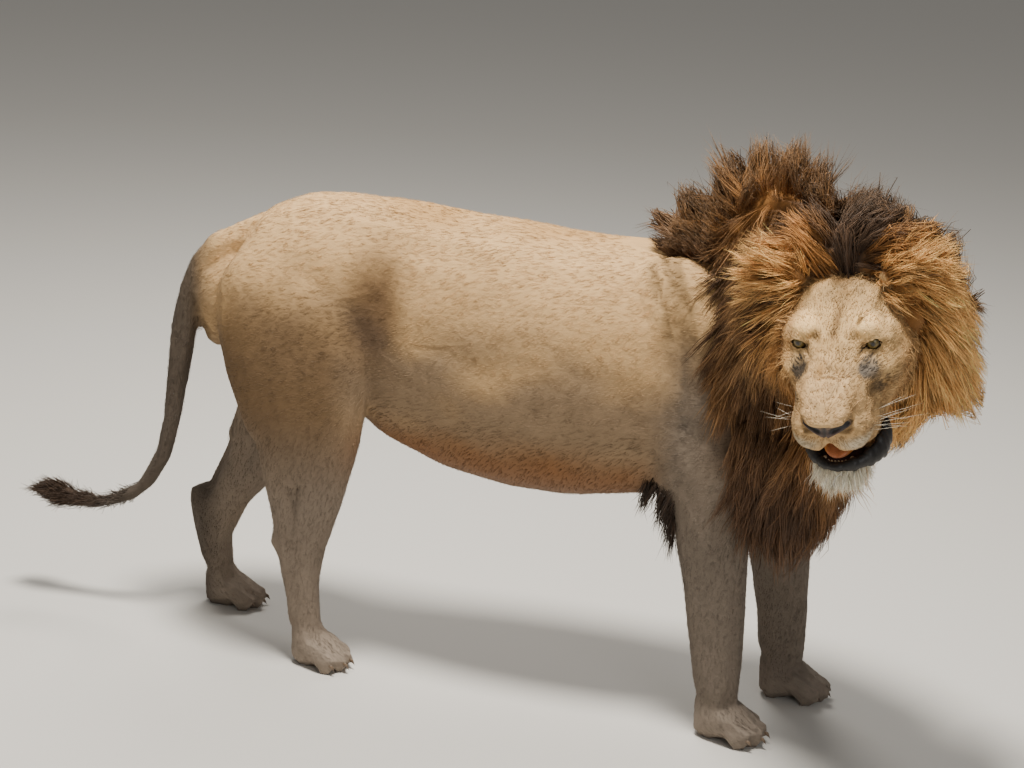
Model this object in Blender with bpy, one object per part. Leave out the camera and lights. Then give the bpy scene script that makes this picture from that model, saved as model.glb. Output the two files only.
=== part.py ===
"""A grown male lion, standing, life size: head turned to its right, mouth a little open, tail curling back.

The flesh is modelled whole, from lofted limbs and muscle masses that a voxel remesh joins. It is then
parted with cells into head, jaw, neck, trunk, legs, paws and tail. The mane is a mass of locks laid over it.
Metres, +X towards the chest, +Y to the animal's left, +Z up, paws flat on the floor.
"""

import math
import random

import bmesh
import bpy
from mathutils import Matrix, Vector

# ---- driving dimensions --------------------------------------------------------------------------------
GAP = 0.0004  # clearance between neighbouring pieces
UNDER_MANE = 0.010  # clearance between the flesh and the mane that covers it
BODY_VOXEL = 0.008
HEAD_VOXEL = 0.0055
PAW_VOXEL = 0.0055
MANE_VOXEL = 0.013
CORE_VOXEL = 0.016
PAW_TRIANGLES = 135

EYE_RADIUS = 0.0195
EYE_SPACING = 0.148  # between the centres of the eyes
EYE_DEPTH = 0.015  # how far the eyes' centres lie behind the head's origin

HEAD_AT = Vector((0.875, -0.42, 1.035))  # the point midway between the eyes
HEAD_YAW, HEAD_PITCH, HEAD_ROLL = -92.0, 19.0, 9.0  # degrees: to the right, nose down, left side up
HEAD_POSE = (
    Matrix.Translation(HEAD_AT)
    @ Matrix.Rotation(math.radians(HEAD_YAW), 4, "Z")
    @ Matrix.Rotation(math.radians(HEAD_PITCH), 4, "Y")
    @ Matrix.Rotation(math.radians(HEAD_ROLL), 4, "X")
)
JAW_HINGE = Vector((-0.130, 0.0, -0.085))
JAW_OPEN = 10.0  # degrees

LEFT, RIGHT = 1, -1

# Trunk sections from rump to chest: x, underside, top line, half width.
TRUNK = (
    (-0.640, 0.850, 0.985, 0.045),
    (-0.605, 0.760, 1.016, 0.092),
    (-0.530, 0.690, 1.058, 0.135),
    (-0.420, 0.655, 1.106, 0.154),
    (-0.310, 0.650, 1.127, 0.154),
    (-0.200, 0.605, 1.131, 0.150),
    (-0.080, 0.530, 1.126, 0.166),
    (0.080, 0.485, 1.113, 0.190),
    (0.240, 0.480, 1.101, 0.197),
    (0.380, 0.505, 1.106, 0.192),
    (0.520, 0.530, 1.108, 0.178),
    (0.640, 0.565, 1.070, 0.158),
    (0.730, 0.630, 0.995, 0.120),
    (0.780, 0.710, 0.930, 0.060),
)
TRUNK_WIDEST = 0.46  # share of the section's height at which it is widest
# The spine's x and height.
SPINE = ((-0.56, 1.03), (-0.42, 1.10), (-0.31, 1.123), (-0.15, 1.126), (0.1, 1.108), (0.38, 1.106))

# Neck sections: centre, half width, reach up, reach down.
NECK = (
    ((0.46, 0.000, 0.890), 0.150, 0.200, 0.230),
    ((0.60, -0.005, 0.905), 0.150, 0.185, 0.210),
    ((0.72, -0.030, 0.945), 0.140, 0.165, 0.180),
    ((0.81, -0.085, 0.995), 0.128, 0.140, 0.155),
    ((0.86, -0.165, 1.035), 0.115, 0.120, 0.135),
    ((0.875, -0.250, 1.055), 0.095, 0.095, 0.110),
)

# Limb sections from the top down: height, x and y of the centre, half width, reach forward, reach back.
FORELEG = (
    (0.76, 0.600, 0.125, 0.058, 0.110, 0.120),
    (0.66, 0.595, 0.140, 0.064, 0.112, 0.110),
    (0.57, 0.603, 0.146, 0.062, 0.104, 0.098),
    (0.46, 0.622, 0.146, 0.057, 0.088, 0.084),
    (0.32, 0.641, 0.145, 0.051, 0.075, 0.074),
    (0.21, 0.655, 0.144, 0.050, 0.064, 0.064),
    (0.14, 0.662, 0.144, 0.053, 0.062, 0.061),
    (0.085, 0.672, 0.144, 0.050, 0.050, 0.048),
)
# How far forward of the right foreleg each section of the left one stands.
LEFT_FORELEG_AHEAD = (0.0, 0.02, 0.06, 0.095, 0.105, 0.105, 0.105, 0.105)

HIND_LEG_RIGHT = (
    (1.02, -0.420, 0.050, 0.040, 0.080, 0.080),
    (0.95, -0.422, 0.084, 0.064, 0.150, 0.150),
    (0.87, -0.420, 0.100, 0.080, 0.188, 0.180),
    (0.76, -0.400, 0.118, 0.086, 0.200, 0.174),
    (0.66, -0.372, 0.132, 0.082, 0.176, 0.160),
    (0.57, -0.345, 0.142, 0.070, 0.138, 0.142),
    (0.47, -0.345, 0.144, 0.057, 0.112, 0.110),
    (0.37, -0.345, 0.140, 0.046, 0.086, 0.088),
    (0.28, -0.347, 0.136, 0.040, 0.060, 0.070),
    (0.20, -0.345, 0.135, 0.037, 0.048, 0.050),
    (0.12, -0.335, 0.135, 0.038, 0.046, 0.044),
    (0.08, -0.326, 0.135, 0.034, 0.038, 0.034),
)
HIND_LEG_LEFT = (
    (1.02, -0.420, 0.050, 0.040, 0.080, 0.080),
    (0.95, -0.422, 0.084, 0.064, 0.150, 0.150),
    (0.87, -0.425, 0.100, 0.080, 0.188, 0.190),
    (0.76, -0.420, 0.118, 0.086, 0.195, 0.192),
    (0.66, -0.425, 0.130, 0.080, 0.165, 0.188),
    (0.57, -0.475, 0.138, 0.068, 0.150, 0.166),
    (0.47, -0.540, 0.138, 0.055, 0.115, 0.106),
    (0.37, -0.598, 0.134, 0.044, 0.080, 0.076),
    (0.30, -0.635, 0.131, 0.040, 0.062, 0.068),
    (0.235, -0.660, 0.130, 0.039, 0.056, 0.082),
    (0.175, -0.668, 0.130, 0.036, 0.048, 0.058),
    (0.12, -0.662, 0.130, 0.037, 0.046, 0.044),
    (0.08, -0.652, 0.130, 0.034, 0.038, 0.034),
)

# Tail: points along it and its radius there.
TAIL = (
    ((-0.540, 0.0, 0.992), 0.044),
    ((-0.632, 0.0, 0.948), 0.044),
    ((-0.684, 0.0, 0.868), 0.040),
    ((-0.708, 0.0, 0.780), 0.038),
    ((-0.722, 0.0, 0.700), 0.035),
    ((-0.734, 0.0, 0.590), 0.030),
    ((-0.742, 0.0, 0.500), 0.026),
    ((-0.767, 0.0, 0.402), 0.024),
    ((-0.818, 0.0, 0.322), 0.022),
    ((-0.900, 0.0, 0.272), 0.018),
    ((-0.975, 0.0, 0.266), 0.018),
    ((-1.035, 0.0, 0.275), 0.026),
    ((-1.075, 0.0, 0.275), 0.022),
    ((-1.098, 0.0, 0.272), 0.010),
)

# How far the hair round the face reaches from the middle of the head.
RUFF_SIDE, RUFF_TOP, RUFF_BELOW = 0.232, 0.178, 0.200

# Neck mane sections: centre, half width, reach up, reach down.
NECK_MANE = (
    ((0.50, 0.000, 0.980), 0.090, 0.100, 0.080),
    ((0.58, -0.003, 0.965), 0.165, 0.155, 0.180),
    ((0.68, -0.022, 0.965), 0.205, 0.185, 0.290),
    ((0.79, -0.085, 0.990), 0.210, 0.195, 0.310),
    ((0.85, -0.165, 1.020), 0.195, 0.185, 0.270),
    ((0.872, -0.250, 1.040), 0.180, 0.180, 0.220),
    ((0.876, -0.310, 1.040), 0.150, 0.160, 0.180),
)

# Crest: root on the nape, height of the hair above it, and how far forward its tips lean.
CREST = (
    ((0.395, 0.000, 1.085), 0.020, -0.070),
    ((0.440, 0.000, 1.090), 0.040, -0.080),
    ((0.485, 0.000, 1.100), 0.078, -0.085),
    ((0.530, 0.000, 1.105), 0.145, -0.070),
    ((0.580, -0.005, 1.110), 0.225, -0.040),
    ((0.630, -0.015, 1.115), 0.285, -0.005),
    ((0.680, -0.030, 1.125), 0.300, 0.015),
    ((0.730, -0.050, 1.135), 0.235, 0.020),
    ((0.775, -0.085, 1.145), 0.165, 0.025),
    ((0.815, -0.130, 1.155), 0.145, 0.030),
    ((0.850, -0.185, 1.165), 0.130, 0.030),
    ((0.868, -0.245, 1.170), 0.115, 0.020),
)

# Material colours: red, green, blue, roughness.
FINISHES = {
    "coat": (0.42, 0.29, 0.17, 0.85),
    "mane": (0.16, 0.085, 0.04, 0.9),
    "eye": (0.28, 0.20, 0.05, 0.1),
    "nose": (0.05, 0.035, 0.03, 0.5),
    "tongue": (0.55, 0.2, 0.13, 0.4),
    "tooth": (0.80, 0.74, 0.58, 0.35),
    "white_fur": (0.75, 0.7, 0.6, 0.9),
    "dark_fur": (0.05, 0.035, 0.03, 0.9),
}


FINISH_OF = {  # by the first word of the node's name
    "mane": "mane",
    "eye": "eye",
    "nose": "nose",
    "tongue": "tongue",
    "teeth": "tooth",
    "beard": "white_fur",
    "elbow": "dark_fur",
}


# ---- modelling helpers ---------------------------------------------------------------------------------
def clear_scene():
    for obj in list(bpy.data.objects):
        bpy.data.objects.remove(obj)


def new_object(name, mesh):
    obj = bpy.data.objects.new(name, mesh)
    bpy.context.scene.collection.objects.link(obj)
    return obj


def object_from(bm, name):
    mesh = bpy.data.meshes.new(name)
    bmesh.ops.recalc_face_normals(bm, faces=bm.faces)
    bm.to_mesh(mesh)
    bm.free()
    return new_object(name, mesh)


def remove(obj):
    bpy.data.objects.remove(obj)


def apply_modifiers(obj):
    """The object's mesh becomes what its modifiers make of it."""
    bpy.context.view_layer.update()
    graph = bpy.context.evaluated_depsgraph_get()
    mesh = bpy.data.meshes.new_from_object(obj.evaluated_get(graph), depsgraph=graph)
    obj.modifiers.clear()
    obj.data = mesh


def ellipsoid(bm, centre, radii, tilt=(0.0, 0.0, 0.0), pose=Matrix.Identity(4), detail=3):
    """A closed ellipsoid. tilt is in degrees about X, Y and Z."""
    turn = Matrix.Identity(4)
    for angle, axis in zip(tilt, "XYZ"):
        turn = Matrix.Rotation(math.radians(angle), 4, axis) @ turn
    place = pose @ Matrix.Translation(centre) @ turn @ Matrix.Diagonal((*radii, 1.0))
    bmesh.ops.create_icosphere(bm, subdivisions=detail, radius=1.0, matrix=place)


def smooth_between(values, steps):
    """Catmull-Rom points through a list of number tuples, with steps points from each to the next."""
    ends = [values[0], *values, values[-1]]
    found = []
    for i in range(1, len(ends) - 2):
        a, b, c, d = (Vector(v) for v in ends[i - 1 : i + 3])
        for k in range(steps):
            t = k / steps
            bend = 2 * a - 5 * b + 4 * c - d
            found.append(0.5 * (2 * b + (c - a) * t + bend * t**2 + (3 * b - a - 3 * c + d) * t**3))
    found.append(Vector(values[-1]))
    return found


def loft(bm, sections, pose=Matrix.Identity(4), across=Vector((0, 1, 0)), sides=28, steps=4, squareness=2.0):
    """A closed tube through sections of (x, y, z, half width, reach up, reach down).

    The width lies along `across`, or level and square to the run where that is None. Up is square to it and
    to the run, so on a limb that runs downwards up means forward. squareness is the section's superellipse
    power, 2 for an ellipse.
    """
    flat = smooth_between(sections, steps)
    centres = [Vector(s[:3]) for s in flat]
    rings = []
    for i, section in enumerate(flat):
        run = centres[min(i + 1, len(flat) - 1)] - centres[max(i - 1, 0)]
        up = run.cross(across or Vector((0, 0, 1)).cross(run)).normalized()
        side = up.cross(run).normalized()
        width, above, below = section[3:6]
        ring = []
        for k in range(sides):
            angle = 2 * math.pi * k / sides
            s, c = math.sin(angle), math.cos(angle)
            reach = above if c > 0 else below
            across_part = math.copysign(abs(s) ** (2 / squareness), s) * width
            up_part = math.copysign(abs(c) ** (2 / squareness), c) * reach
            ring.append(bm.verts.new(pose @ (centres[i] + side * across_part + up * up_part)))
        rings.append(ring)
    for a, b in zip(rings, rings[1:]):
        for k in range(sides):
            n = (k + 1) % sides
            bm.faces.new((a[k], a[n], b[n], b[k]))
    bm.faces.new(list(reversed(rings[0])))
    bm.faces.new(rings[-1])


def tuft(bm, root, tip, radius, bend=Vector((0, 0, -0.02)), pose=Matrix.Identity(4)):
    """A tapered lock of hair from root to tip, bowed by bend at its middle."""
    root, tip = Vector(root), Vector(tip)
    middle = (root + tip) / 2 + Vector(bend)
    spans = ((root, 0.8), (middle, 1.0), (middle.lerp(tip, 0.6), 0.6), (tip, 0.12))
    run = tip - root
    across = Vector((0, 1, 0)) if abs(run.normalized().y) < 0.8 else Vector((1, 0, 0))
    sections = [(*point, radius * share, radius * share, radius * share) for point, share in spans]
    loft(bm, sections, pose=pose, across=across, sides=8, steps=2)


def merged(obj, voxel, rounding, triangles, ease=0):
    """Joins the object's overlapping shapes into one skin, softens the joints, and thins it.

    rounding smooths and lets out again, so that creases fill but limbs keep their girth. ease only smooths.
    """
    remesh = obj.modifiers.new("join", "REMESH")
    remesh.mode = "VOXEL"
    remesh.voxel_size = voxel
    passes = [0.62, -0.64] * rounding + [0.5] * ease
    for i, factor in enumerate(passes):
        soften = obj.modifiers.new(f"soften_{i}", "SMOOTH")
        soften.factor = factor
        soften.iterations = 1
    apply_modifiers(obj)
    thin(obj, triangles)
    keep_largest(obj)
    return obj


def thin(obj, triangles):
    faces = sum(len(p.vertices) - 2 for p in obj.data.polygons)
    fewer = obj.modifiers.new("thin", "DECIMATE")
    fewer.ratio = min(1.0, triangles / faces)
    apply_modifiers(obj)


def keep_largest(obj):
    """Drops every loose scrap of the mesh but the largest."""
    bm = bmesh.new()
    bm.from_mesh(obj.data)
    islands, left = [], set(bm.verts)
    while left:
        todo, island = [left.pop()], set()
        while todo:
            vert = todo.pop()
            island.add(vert)
            for edge in vert.link_edges:
                other = edge.other_vert(vert)
                if other in left:
                    left.remove(other)
                    todo.append(other)
        islands.append(island)
    islands.sort(key=len)
    scraps = [v for island in islands[:-1] for v in island]
    bmesh.ops.delete(bm, geom=scraps, context="VERTS")
    bm.to_mesh(obj.data)
    bm.free()


def boolean(obj, other, operation):
    cut = obj.modifiers.new("cut", "BOOLEAN")
    cut.operation = operation
    cut.object = other
    apply_modifiers(obj)
    tidy(obj)


def tidy(obj):
    """Triangles only, with points that a cut left almost together made one."""
    bm = bmesh.new()
    bm.from_mesh(obj.data)
    bmesh.ops.remove_doubles(bm, verts=bm.verts, dist=0.00002)
    bmesh.ops.dissolve_degenerate(bm, edges=bm.edges, dist=0.00002)
    bmesh.ops.triangulate(bm, faces=bm.faces)
    bm.to_mesh(obj.data)
    bm.free()


def box_cell(centre, size, tilt=(0.0, 0.0, 0.0), pose=Matrix.Identity(4), grow=0.0):
    """A box-shaped cutter. grow moves every side outwards."""
    turn = Matrix.Identity(4)
    for angle, axis in zip(tilt, "XYZ"):
        turn = Matrix.Rotation(math.radians(angle), 4, axis) @ turn
    scale = Matrix.Diagonal((*(s + 2 * grow for s in size), 1.0))
    bm = bmesh.new()
    bmesh.ops.create_cube(bm, size=1.0, matrix=pose @ Matrix.Translation(centre) @ turn @ scale)
    cell = object_from(bm, "cell")
    cell.hide_render = True
    cell.display_type = "WIRE"
    return cell


def part_off(whole, name, **cell):
    """Cuts what lies in a box out of the whole, and returns it as an object of its own, a gap away."""
    piece = new_object(name, whole.data.copy())
    cutter = box_cell(**cell)
    boolean(piece, cutter, "INTERSECT")
    keep_largest(piece)
    remove(cutter)
    cutter = box_cell(**cell, grow=GAP)
    boolean(whole, cutter, "DIFFERENCE")
    keep_largest(whole)
    remove(cutter)
    return piece


def copy_of(obj, name, swell=0.0):
    """A copy of the object, swollen along its normals."""
    twin = new_object(name, obj.data.copy())
    if swell:
        push = twin.modifiers.new("swell", "DISPLACE")
        push.strength = swell
        push.mid_level = 0.0
        apply_modifiers(twin)
    return twin


# ---- the flesh -----------------------------------------------------------------------------------------
def add_trunk(bm):
    sections = []
    for x, bottom, top, width in TRUNK:
        widest = bottom + (top - bottom) * TRUNK_WIDEST
        sections.append((x, 0.0, widest, width, top - widest, widest - bottom))
    loft(bm, sections, sides=36, squareness=2.25)
    # Spine and croup.
    loft(bm, [(x, 0.0, z - 0.05, 0.045, 0.052, 0.05) for x, z in SPINE])
    ellipsoid(bm, (-0.615, 0.0, 0.80), (0.035, 0.05, 0.09))  # between the buttocks
    ellipsoid(bm, (-0.622, 0.0, 0.748), (0.046, 0.036, 0.042), tilt=(0, 20, 0))  # scrotum


def add_shoulders(bm):
    for side in (LEFT, RIGHT):
        ahead = 0.03 if side == LEFT else 0.0
        # Shoulder blade, upper arm, the muscle behind it, and breast.
        ellipsoid(bm, (0.525 + ahead, side * 0.108, 0.900), (0.140, 0.074, 0.220), tilt=(side * 3, -28, 0))
        ellipsoid(bm, (0.600 + ahead, side * 0.122, 0.750), (0.135, 0.074, 0.180), tilt=(0, -22, 0))
        ellipsoid(bm, (0.550 + ahead, side * 0.128, 0.700), (0.100, 0.066, 0.165), tilt=(0, 4, 0))
        ellipsoid(bm, (0.670, side * 0.080, 0.720), (0.110, 0.080, 0.130))


def add_limb(bm, sections, side, ahead=None):
    ahead = ahead or [0.0] * len(sections)
    placed = [
        (x + shift, side * y, z, width, forward, back)
        for (z, x, y, width, forward, back), shift in zip(sections, ahead)
    ]
    loft(bm, placed, squareness=2.1)


def add_tail(bm):
    loft(bm, [(*point, radius, radius, radius) for point, radius in TAIL], steps=6, sides=20)


def make_paw(x, y, scale, toes_out):
    """A paw with four toes, each with a knuckle and a low front, whose sole the floor trims flat."""
    turn = Matrix.Rotation(math.radians(toes_out), 4, "Z")
    pose = Matrix.Translation((x, y, 0.0)) @ turn @ Matrix.Scale(scale, 4)
    bm = bmesh.new()
    ellipsoid(bm, (-0.022, 0.0, 0.080), (0.052, 0.050, 0.056), pose=pose)
    ellipsoid(bm, (0.000, 0.0, 0.048), (0.074, 0.058, 0.054), pose=pose)
    ellipsoid(bm, (-0.030, 0.0, 0.022), (0.042, 0.048, 0.028), pose=pose)
    for spread, reach in ((-0.050, 0.052), (-0.0175, 0.076), (0.0175, 0.076), (0.050, 0.052)):
        ellipsoid(bm, (reach, spread, 0.028), (0.038, 0.0185, 0.032), pose=pose)
        knuckle = (reach - 0.030, spread * 0.95, 0.050)
        ellipsoid(bm, knuckle, (0.040, 0.0180, 0.030), tilt=(0, 25, 0), pose=pose)
    return merged(object_from(bm, "paw"), PAW_VOXEL, rounding=1, triangles=PAW_TRIANGLES)


def make_body():
    bm = bmesh.new()
    add_trunk(bm)
    add_shoulders(bm)
    loft(bm, [(*centre, width, up, down) for centre, width, up, down in NECK], across=None, sides=32)
    add_limb(bm, FORELEG, RIGHT)
    add_limb(bm, FORELEG, LEFT, LEFT_FORELEG_AHEAD)
    add_limb(bm, HIND_LEG_RIGHT, RIGHT)
    add_limb(bm, HIND_LEG_LEFT, LEFT)
    ellipsoid(bm, (-0.395, -0.134, 0.292), (0.036, 0.026, 0.040), tilt=(0, -15, 0))  # right heel
    ellipsoid(bm, (-0.712, 0.130, 0.272), (0.036, 0.026, 0.040), tilt=(0, -15, 0))  # left heel
    add_tail(bm)
    body = merged(object_from(bm, "body"), BODY_VOXEL, rounding=12, triangles=1560, ease=1)
    for sections, side, ahead, scale in (
        (FORELEG, RIGHT, 0.012, 1.0),
        (FORELEG, LEFT, 0.012 + LEFT_FORELEG_AHEAD[-1], 1.0),
        (HIND_LEG_RIGHT, RIGHT, 0.022, 0.9),
        (HIND_LEG_LEFT, LEFT, 0.022, 0.9),
    ):
        _, x, y = sections[-1][:3]
        paw = make_paw(x + ahead, side * y, scale, toes_out=side * 6)
        boolean(body, paw, "UNION")
        remove(paw)
    return body


# ---- the head, in its own frame: +X to the nose, +Y to its left, +Z up, from midway between the eyes ---
def add_cranium(bm):
    loft(
        bm,
        [
            (-0.245, 0.0, -0.010, 0.060, 0.048, 0.070),
            (-0.205, 0.0, 0.000, 0.098, 0.066, 0.095),
            (-0.145, 0.0, 0.000, 0.120, 0.072, 0.110),
            (-0.085, 0.0, -0.006, 0.124, 0.068, 0.105),
            (-0.035, 0.0, -0.018, 0.110, 0.056, 0.090),
            (0.010, 0.0, -0.034, 0.084, 0.046, 0.075),
            (0.030, 0.0, -0.044, 0.050, 0.030, 0.050),
        ],
        sides=32,
    )
    for side in (LEFT, RIGHT):
        # Brow, temple, cheekbone, the flat below the eye, and the jaw muscle.
        ellipsoid(bm, (-0.042, side * 0.060, 0.014), (0.058, 0.048, 0.031), tilt=(0, 14, side * -10))
        ellipsoid(bm, (-0.050, side * 0.096, -0.010), (0.052, 0.034, 0.044), tilt=(0, 0, side * -10))
        ellipsoid(bm, (-0.050, side * 0.090, -0.052), (0.095, 0.054, 0.056), tilt=(0, 12, side * -16))
        ellipsoid(bm, (-0.012, side * 0.062, -0.056), (0.095, 0.048, 0.054), tilt=(0, 18, side * -10))
        ellipsoid(bm, (-0.110, side * 0.080, -0.100), (0.090, 0.056, 0.092), tilt=(0, -10, 0))


def add_muzzle(bm):
    # The bridge of the nose, broad and nearly straight.
    loft(
        bm,
        [
            (-0.040, 0.0, 0.000, 0.056, 0.032, 0.060),
            (0.015, 0.0, -0.018, 0.055, 0.029, 0.055),
            (0.070, 0.0, -0.036, 0.057, 0.027, 0.050),
            (0.118, 0.0, -0.053, 0.056, 0.026, 0.046),
            (0.146, 0.0, -0.066, 0.049, 0.022, 0.038),
            (0.160, 0.0, -0.080, 0.036, 0.016, 0.028),
        ],
        squareness=2.3,
    )
    # The muzzle below it.
    loft(
        bm,
        [
            (-0.060, 0.0, -0.095, 0.100, 0.064, 0.050),
            (0.000, 0.0, -0.096, 0.094, 0.062, 0.050),
            (0.050, 0.0, -0.100, 0.086, 0.058, 0.050),
            (0.100, 0.0, -0.104, 0.078, 0.052, 0.048),
            (0.138, 0.0, -0.109, 0.063, 0.040, 0.040),
            (0.158, 0.0, -0.114, 0.040, 0.026, 0.030),
        ],
        squareness=2.3,
    )
    for side in (LEFT, RIGHT):
        # The side of the muzzle, the whisker pad and the hanging lip.
        ellipsoid(bm, (0.050, side * 0.046, -0.070), (0.095, 0.040, 0.046), tilt=(0, 16, side * -6))
        ellipsoid(bm, (0.106, side * 0.042, -0.118), (0.054, 0.044, 0.042), tilt=(0, 8, side * -10))
        ellipsoid(bm, (0.046, side * 0.068, -0.136), (0.070, 0.024, 0.034), tilt=(0, 6, side * -8))


def jaw_swing():
    swing = Matrix.Translation(JAW_HINGE) @ Matrix.Rotation(math.radians(JAW_OPEN), 4, "Y")
    return HEAD_POSE @ swing @ Matrix.Translation(-JAW_HINGE)


def add_jaw(bm):
    """The lower jaw, swung open about its hinge."""
    loft(
        bm,
        [
            (-0.135, 0.0, -0.130, 0.094, 0.040, 0.044),
            (-0.065, 0.0, -0.154, 0.092, 0.026, 0.042),
            (0.000, 0.0, -0.171, 0.082, 0.014, 0.040),
            (0.060, 0.0, -0.180, 0.070, 0.012, 0.038),
            (0.105, 0.0, -0.184, 0.058, 0.012, 0.036),
            (0.134, 0.0, -0.188, 0.038, 0.010, 0.028),
        ],
        pose=jaw_swing(),
        squareness=2.4,
    )
    ellipsoid(bm, (0.088, 0.0, -0.208), (0.048, 0.052, 0.032), pose=jaw_swing())  # chin


def ear_pose(side):
    place = HEAD_POSE @ Matrix.Translation((-0.145, side * 0.112, 0.046))
    lean = Matrix.Rotation(math.radians(side * -40), 4, "X")
    return place @ lean @ Matrix.Rotation(math.radians(side * 22), 4, "Z")


def add_ear(bm, side):
    """A round ear, a thick cup open to the front and side."""
    ellipsoid(bm, (-0.012, 0.0, 0.030), (0.020, 0.052, 0.060), pose=ear_pose(side))
    for k in range(15):
        angle = math.radians(-105 + 15 * k)
        centre = (0.006, 0.044 * math.sin(angle), 0.030 + 0.052 * math.cos(angle))
        ellipsoid(bm, centre, (0.016, 0.014, 0.014), pose=ear_pose(side), detail=2)


def eye_place(side):
    return HEAD_POSE @ Vector((-EYE_DEPTH, side * EYE_SPACING / 2, 0.0))


def make_eye(side):
    bm = bmesh.new()
    place = Matrix.Translation(eye_place(side)) @ Matrix.Rotation(math.radians(90), 4, "X")
    bmesh.ops.create_uvsphere(bm, u_segments=12, v_segments=6, radius=EYE_RADIUS, matrix=place)
    return object_from(bm, "eye")


def make_head():
    bm = bmesh.new()
    add_cranium(bm)
    add_muzzle(bm)
    bmesh.ops.transform(bm, matrix=HEAD_POSE, verts=bm.verts)
    add_jaw(bm)
    for side in (LEFT, RIGHT):
        add_ear(bm, side)
    head = merged(object_from(bm, "head"), HEAD_VOXEL, rounding=16, triangles=1240, ease=3)
    for side in (LEFT, RIGHT):
        bm = bmesh.new()
        opening = {"centre": (0.018, side * 0.078, -0.001), "radii": (0.030, 0.024, 0.012)}
        ellipsoid(bm, **opening, tilt=(0, 0, side * 18), pose=HEAD_POSE, detail=1)
        socket = object_from(bm, "socket")
        boolean(head, socket, "DIFFERENCE")
        remove(socket)
    return head


def make_nose():
    """The nose pad: a broad top edge, wings at the nostrils and a narrow foot between the lips."""
    bm = bmesh.new()
    loft(
        bm,
        [
            (0.128, 0.0, -0.078, 0.030, 0.014, 0.018),
            (0.150, 0.0, -0.080, 0.044, 0.017, 0.024),
            (0.166, 0.0, -0.085, 0.041, 0.017, 0.024),
            (0.176, 0.0, -0.090, 0.024, 0.010, 0.015),
        ],
        pose=HEAD_POSE,
        sides=12,
        steps=1,
        squareness=2.6,
    )
    return object_from(bm, "nose")


def make_tongue():
    bm = bmesh.new()
    ellipsoid(bm, (0.058, 0.0, -0.167), (0.048, 0.034, 0.011), tilt=(0, 5, 0), pose=jaw_swing(), detail=2)
    return object_from(bm, "tongue")


def make_teeth():
    """The lower front teeth, six small ones between two fangs, on one gum."""
    bm = bmesh.new()
    loft(
        bm,
        [
            (0.116, -0.030, -0.176, 0.008, 0.005, 0.005),
            (0.126, -0.015, -0.176, 0.008, 0.005, 0.005),
            (0.129, 0.000, -0.176, 0.008, 0.005, 0.005),
            (0.126, 0.015, -0.176, 0.008, 0.005, 0.005),
            (0.116, 0.030, -0.176, 0.008, 0.005, 0.005),
        ],
        pose=jaw_swing(),
        across=Vector((1, 0, 0)),
        sides=10,
        steps=2,
    )
    for k in range(6):
        y = (k - 2.5) * 0.0072
        ellipsoid(bm, (0.1295 - 9 * y * y, y, -0.168), (0.0032, 0.0032, 0.0065), pose=jaw_swing(), detail=2)
    for side in (LEFT, RIGHT):
        ellipsoid(bm, (0.118, side * 0.0285, -0.163), (0.0065, 0.0065, 0.018), pose=jaw_swing(), detail=2)
    return merged(object_from(bm, "teeth"), 0.0024, rounding=1, triangles=110, ease=1)


# ---- the coat that stands away from the flesh ----------------------------------------------------------
def add_face_ruff(bm, rng):
    """The ring of mane round the face, swept back, in the head's frame."""
    turns = 24
    for i in range(turns):
        angle = 2 * math.pi * i / turns  # 0 at the crown, going to the left
        across, up = math.sin(angle), math.cos(angle)
        high, low = max(0.0, up), max(0.0, -up)
        for row in range(3):
            back = 0.085 + 0.045 * high + 0.050 * row
            root = Vector((-back, 0.105 * across, -0.035 + 0.078 * up))
            reach = RUFF_SIDE * abs(across) * (1.0 + 0.16 * up) + RUFF_TOP * high + RUFF_BELOW * low
            reach *= 1.0 - (0.22 if across > 0 else 0.16) * high * abs(across) * 2.0
            reach *= rng.uniform(0.90, 1.0)
            tip = Vector((-back - 0.060 - 0.02 * low, reach * across, reach * up - 0.03 * abs(across)))
            tuft(bm, root, tip, 0.038, bend=(0.016, across * 0.020, 0.016), pose=HEAD_POSE)


def add_neck_mane(bm, rng):
    """The deep hair round the neck, with locks that lie back and down over the shoulders."""
    loft(bm, [(*centre, width, up, down) for centre, width, up, down in NECK_MANE], across=None, sides=32)
    ellipsoid(bm, (0.760, -0.070, 0.760), (0.120, 0.150, 0.200), tilt=(0, -8, 0))  # breast
    ellipsoid(bm, (0.840, -0.200, 0.850), (0.110, 0.130, 0.170))  # throat
    for side in (LEFT, RIGHT):
        for k in range(9):
            for row in range(3):
                along = k / 8
                x = 0.600 + 0.215 * along
                y = side * 0.175 - 0.075 * along**2
                z = 1.060 - 0.110 * row + 0.03 * along
                tip = Vector((x - 0.045, y + side * 0.035, z - 0.150 - 0.03 * rng.random()))
                tuft(bm, (x, y * 0.80, z), tip, 0.036, bend=(0.0, side * 0.020, 0.0))


def add_crest(bm, rng):
    """The hair that stands up along the withers and the nape."""
    for (x, y, z), height, lean in CREST:
        for offset in (-0.055, -0.018, 0.018, 0.055):
            root = (x, y + offset, z - 0.05)
            tip = (
                x + lean + rng.uniform(-0.015, 0.015),
                y + offset * 1.8,
                z + height * rng.uniform(0.86, 1.0) - abs(offset) * 1.1,
            )
            tuft(bm, root, tip, 0.036, bend=(0.0, 0.0, 0.0))


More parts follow.
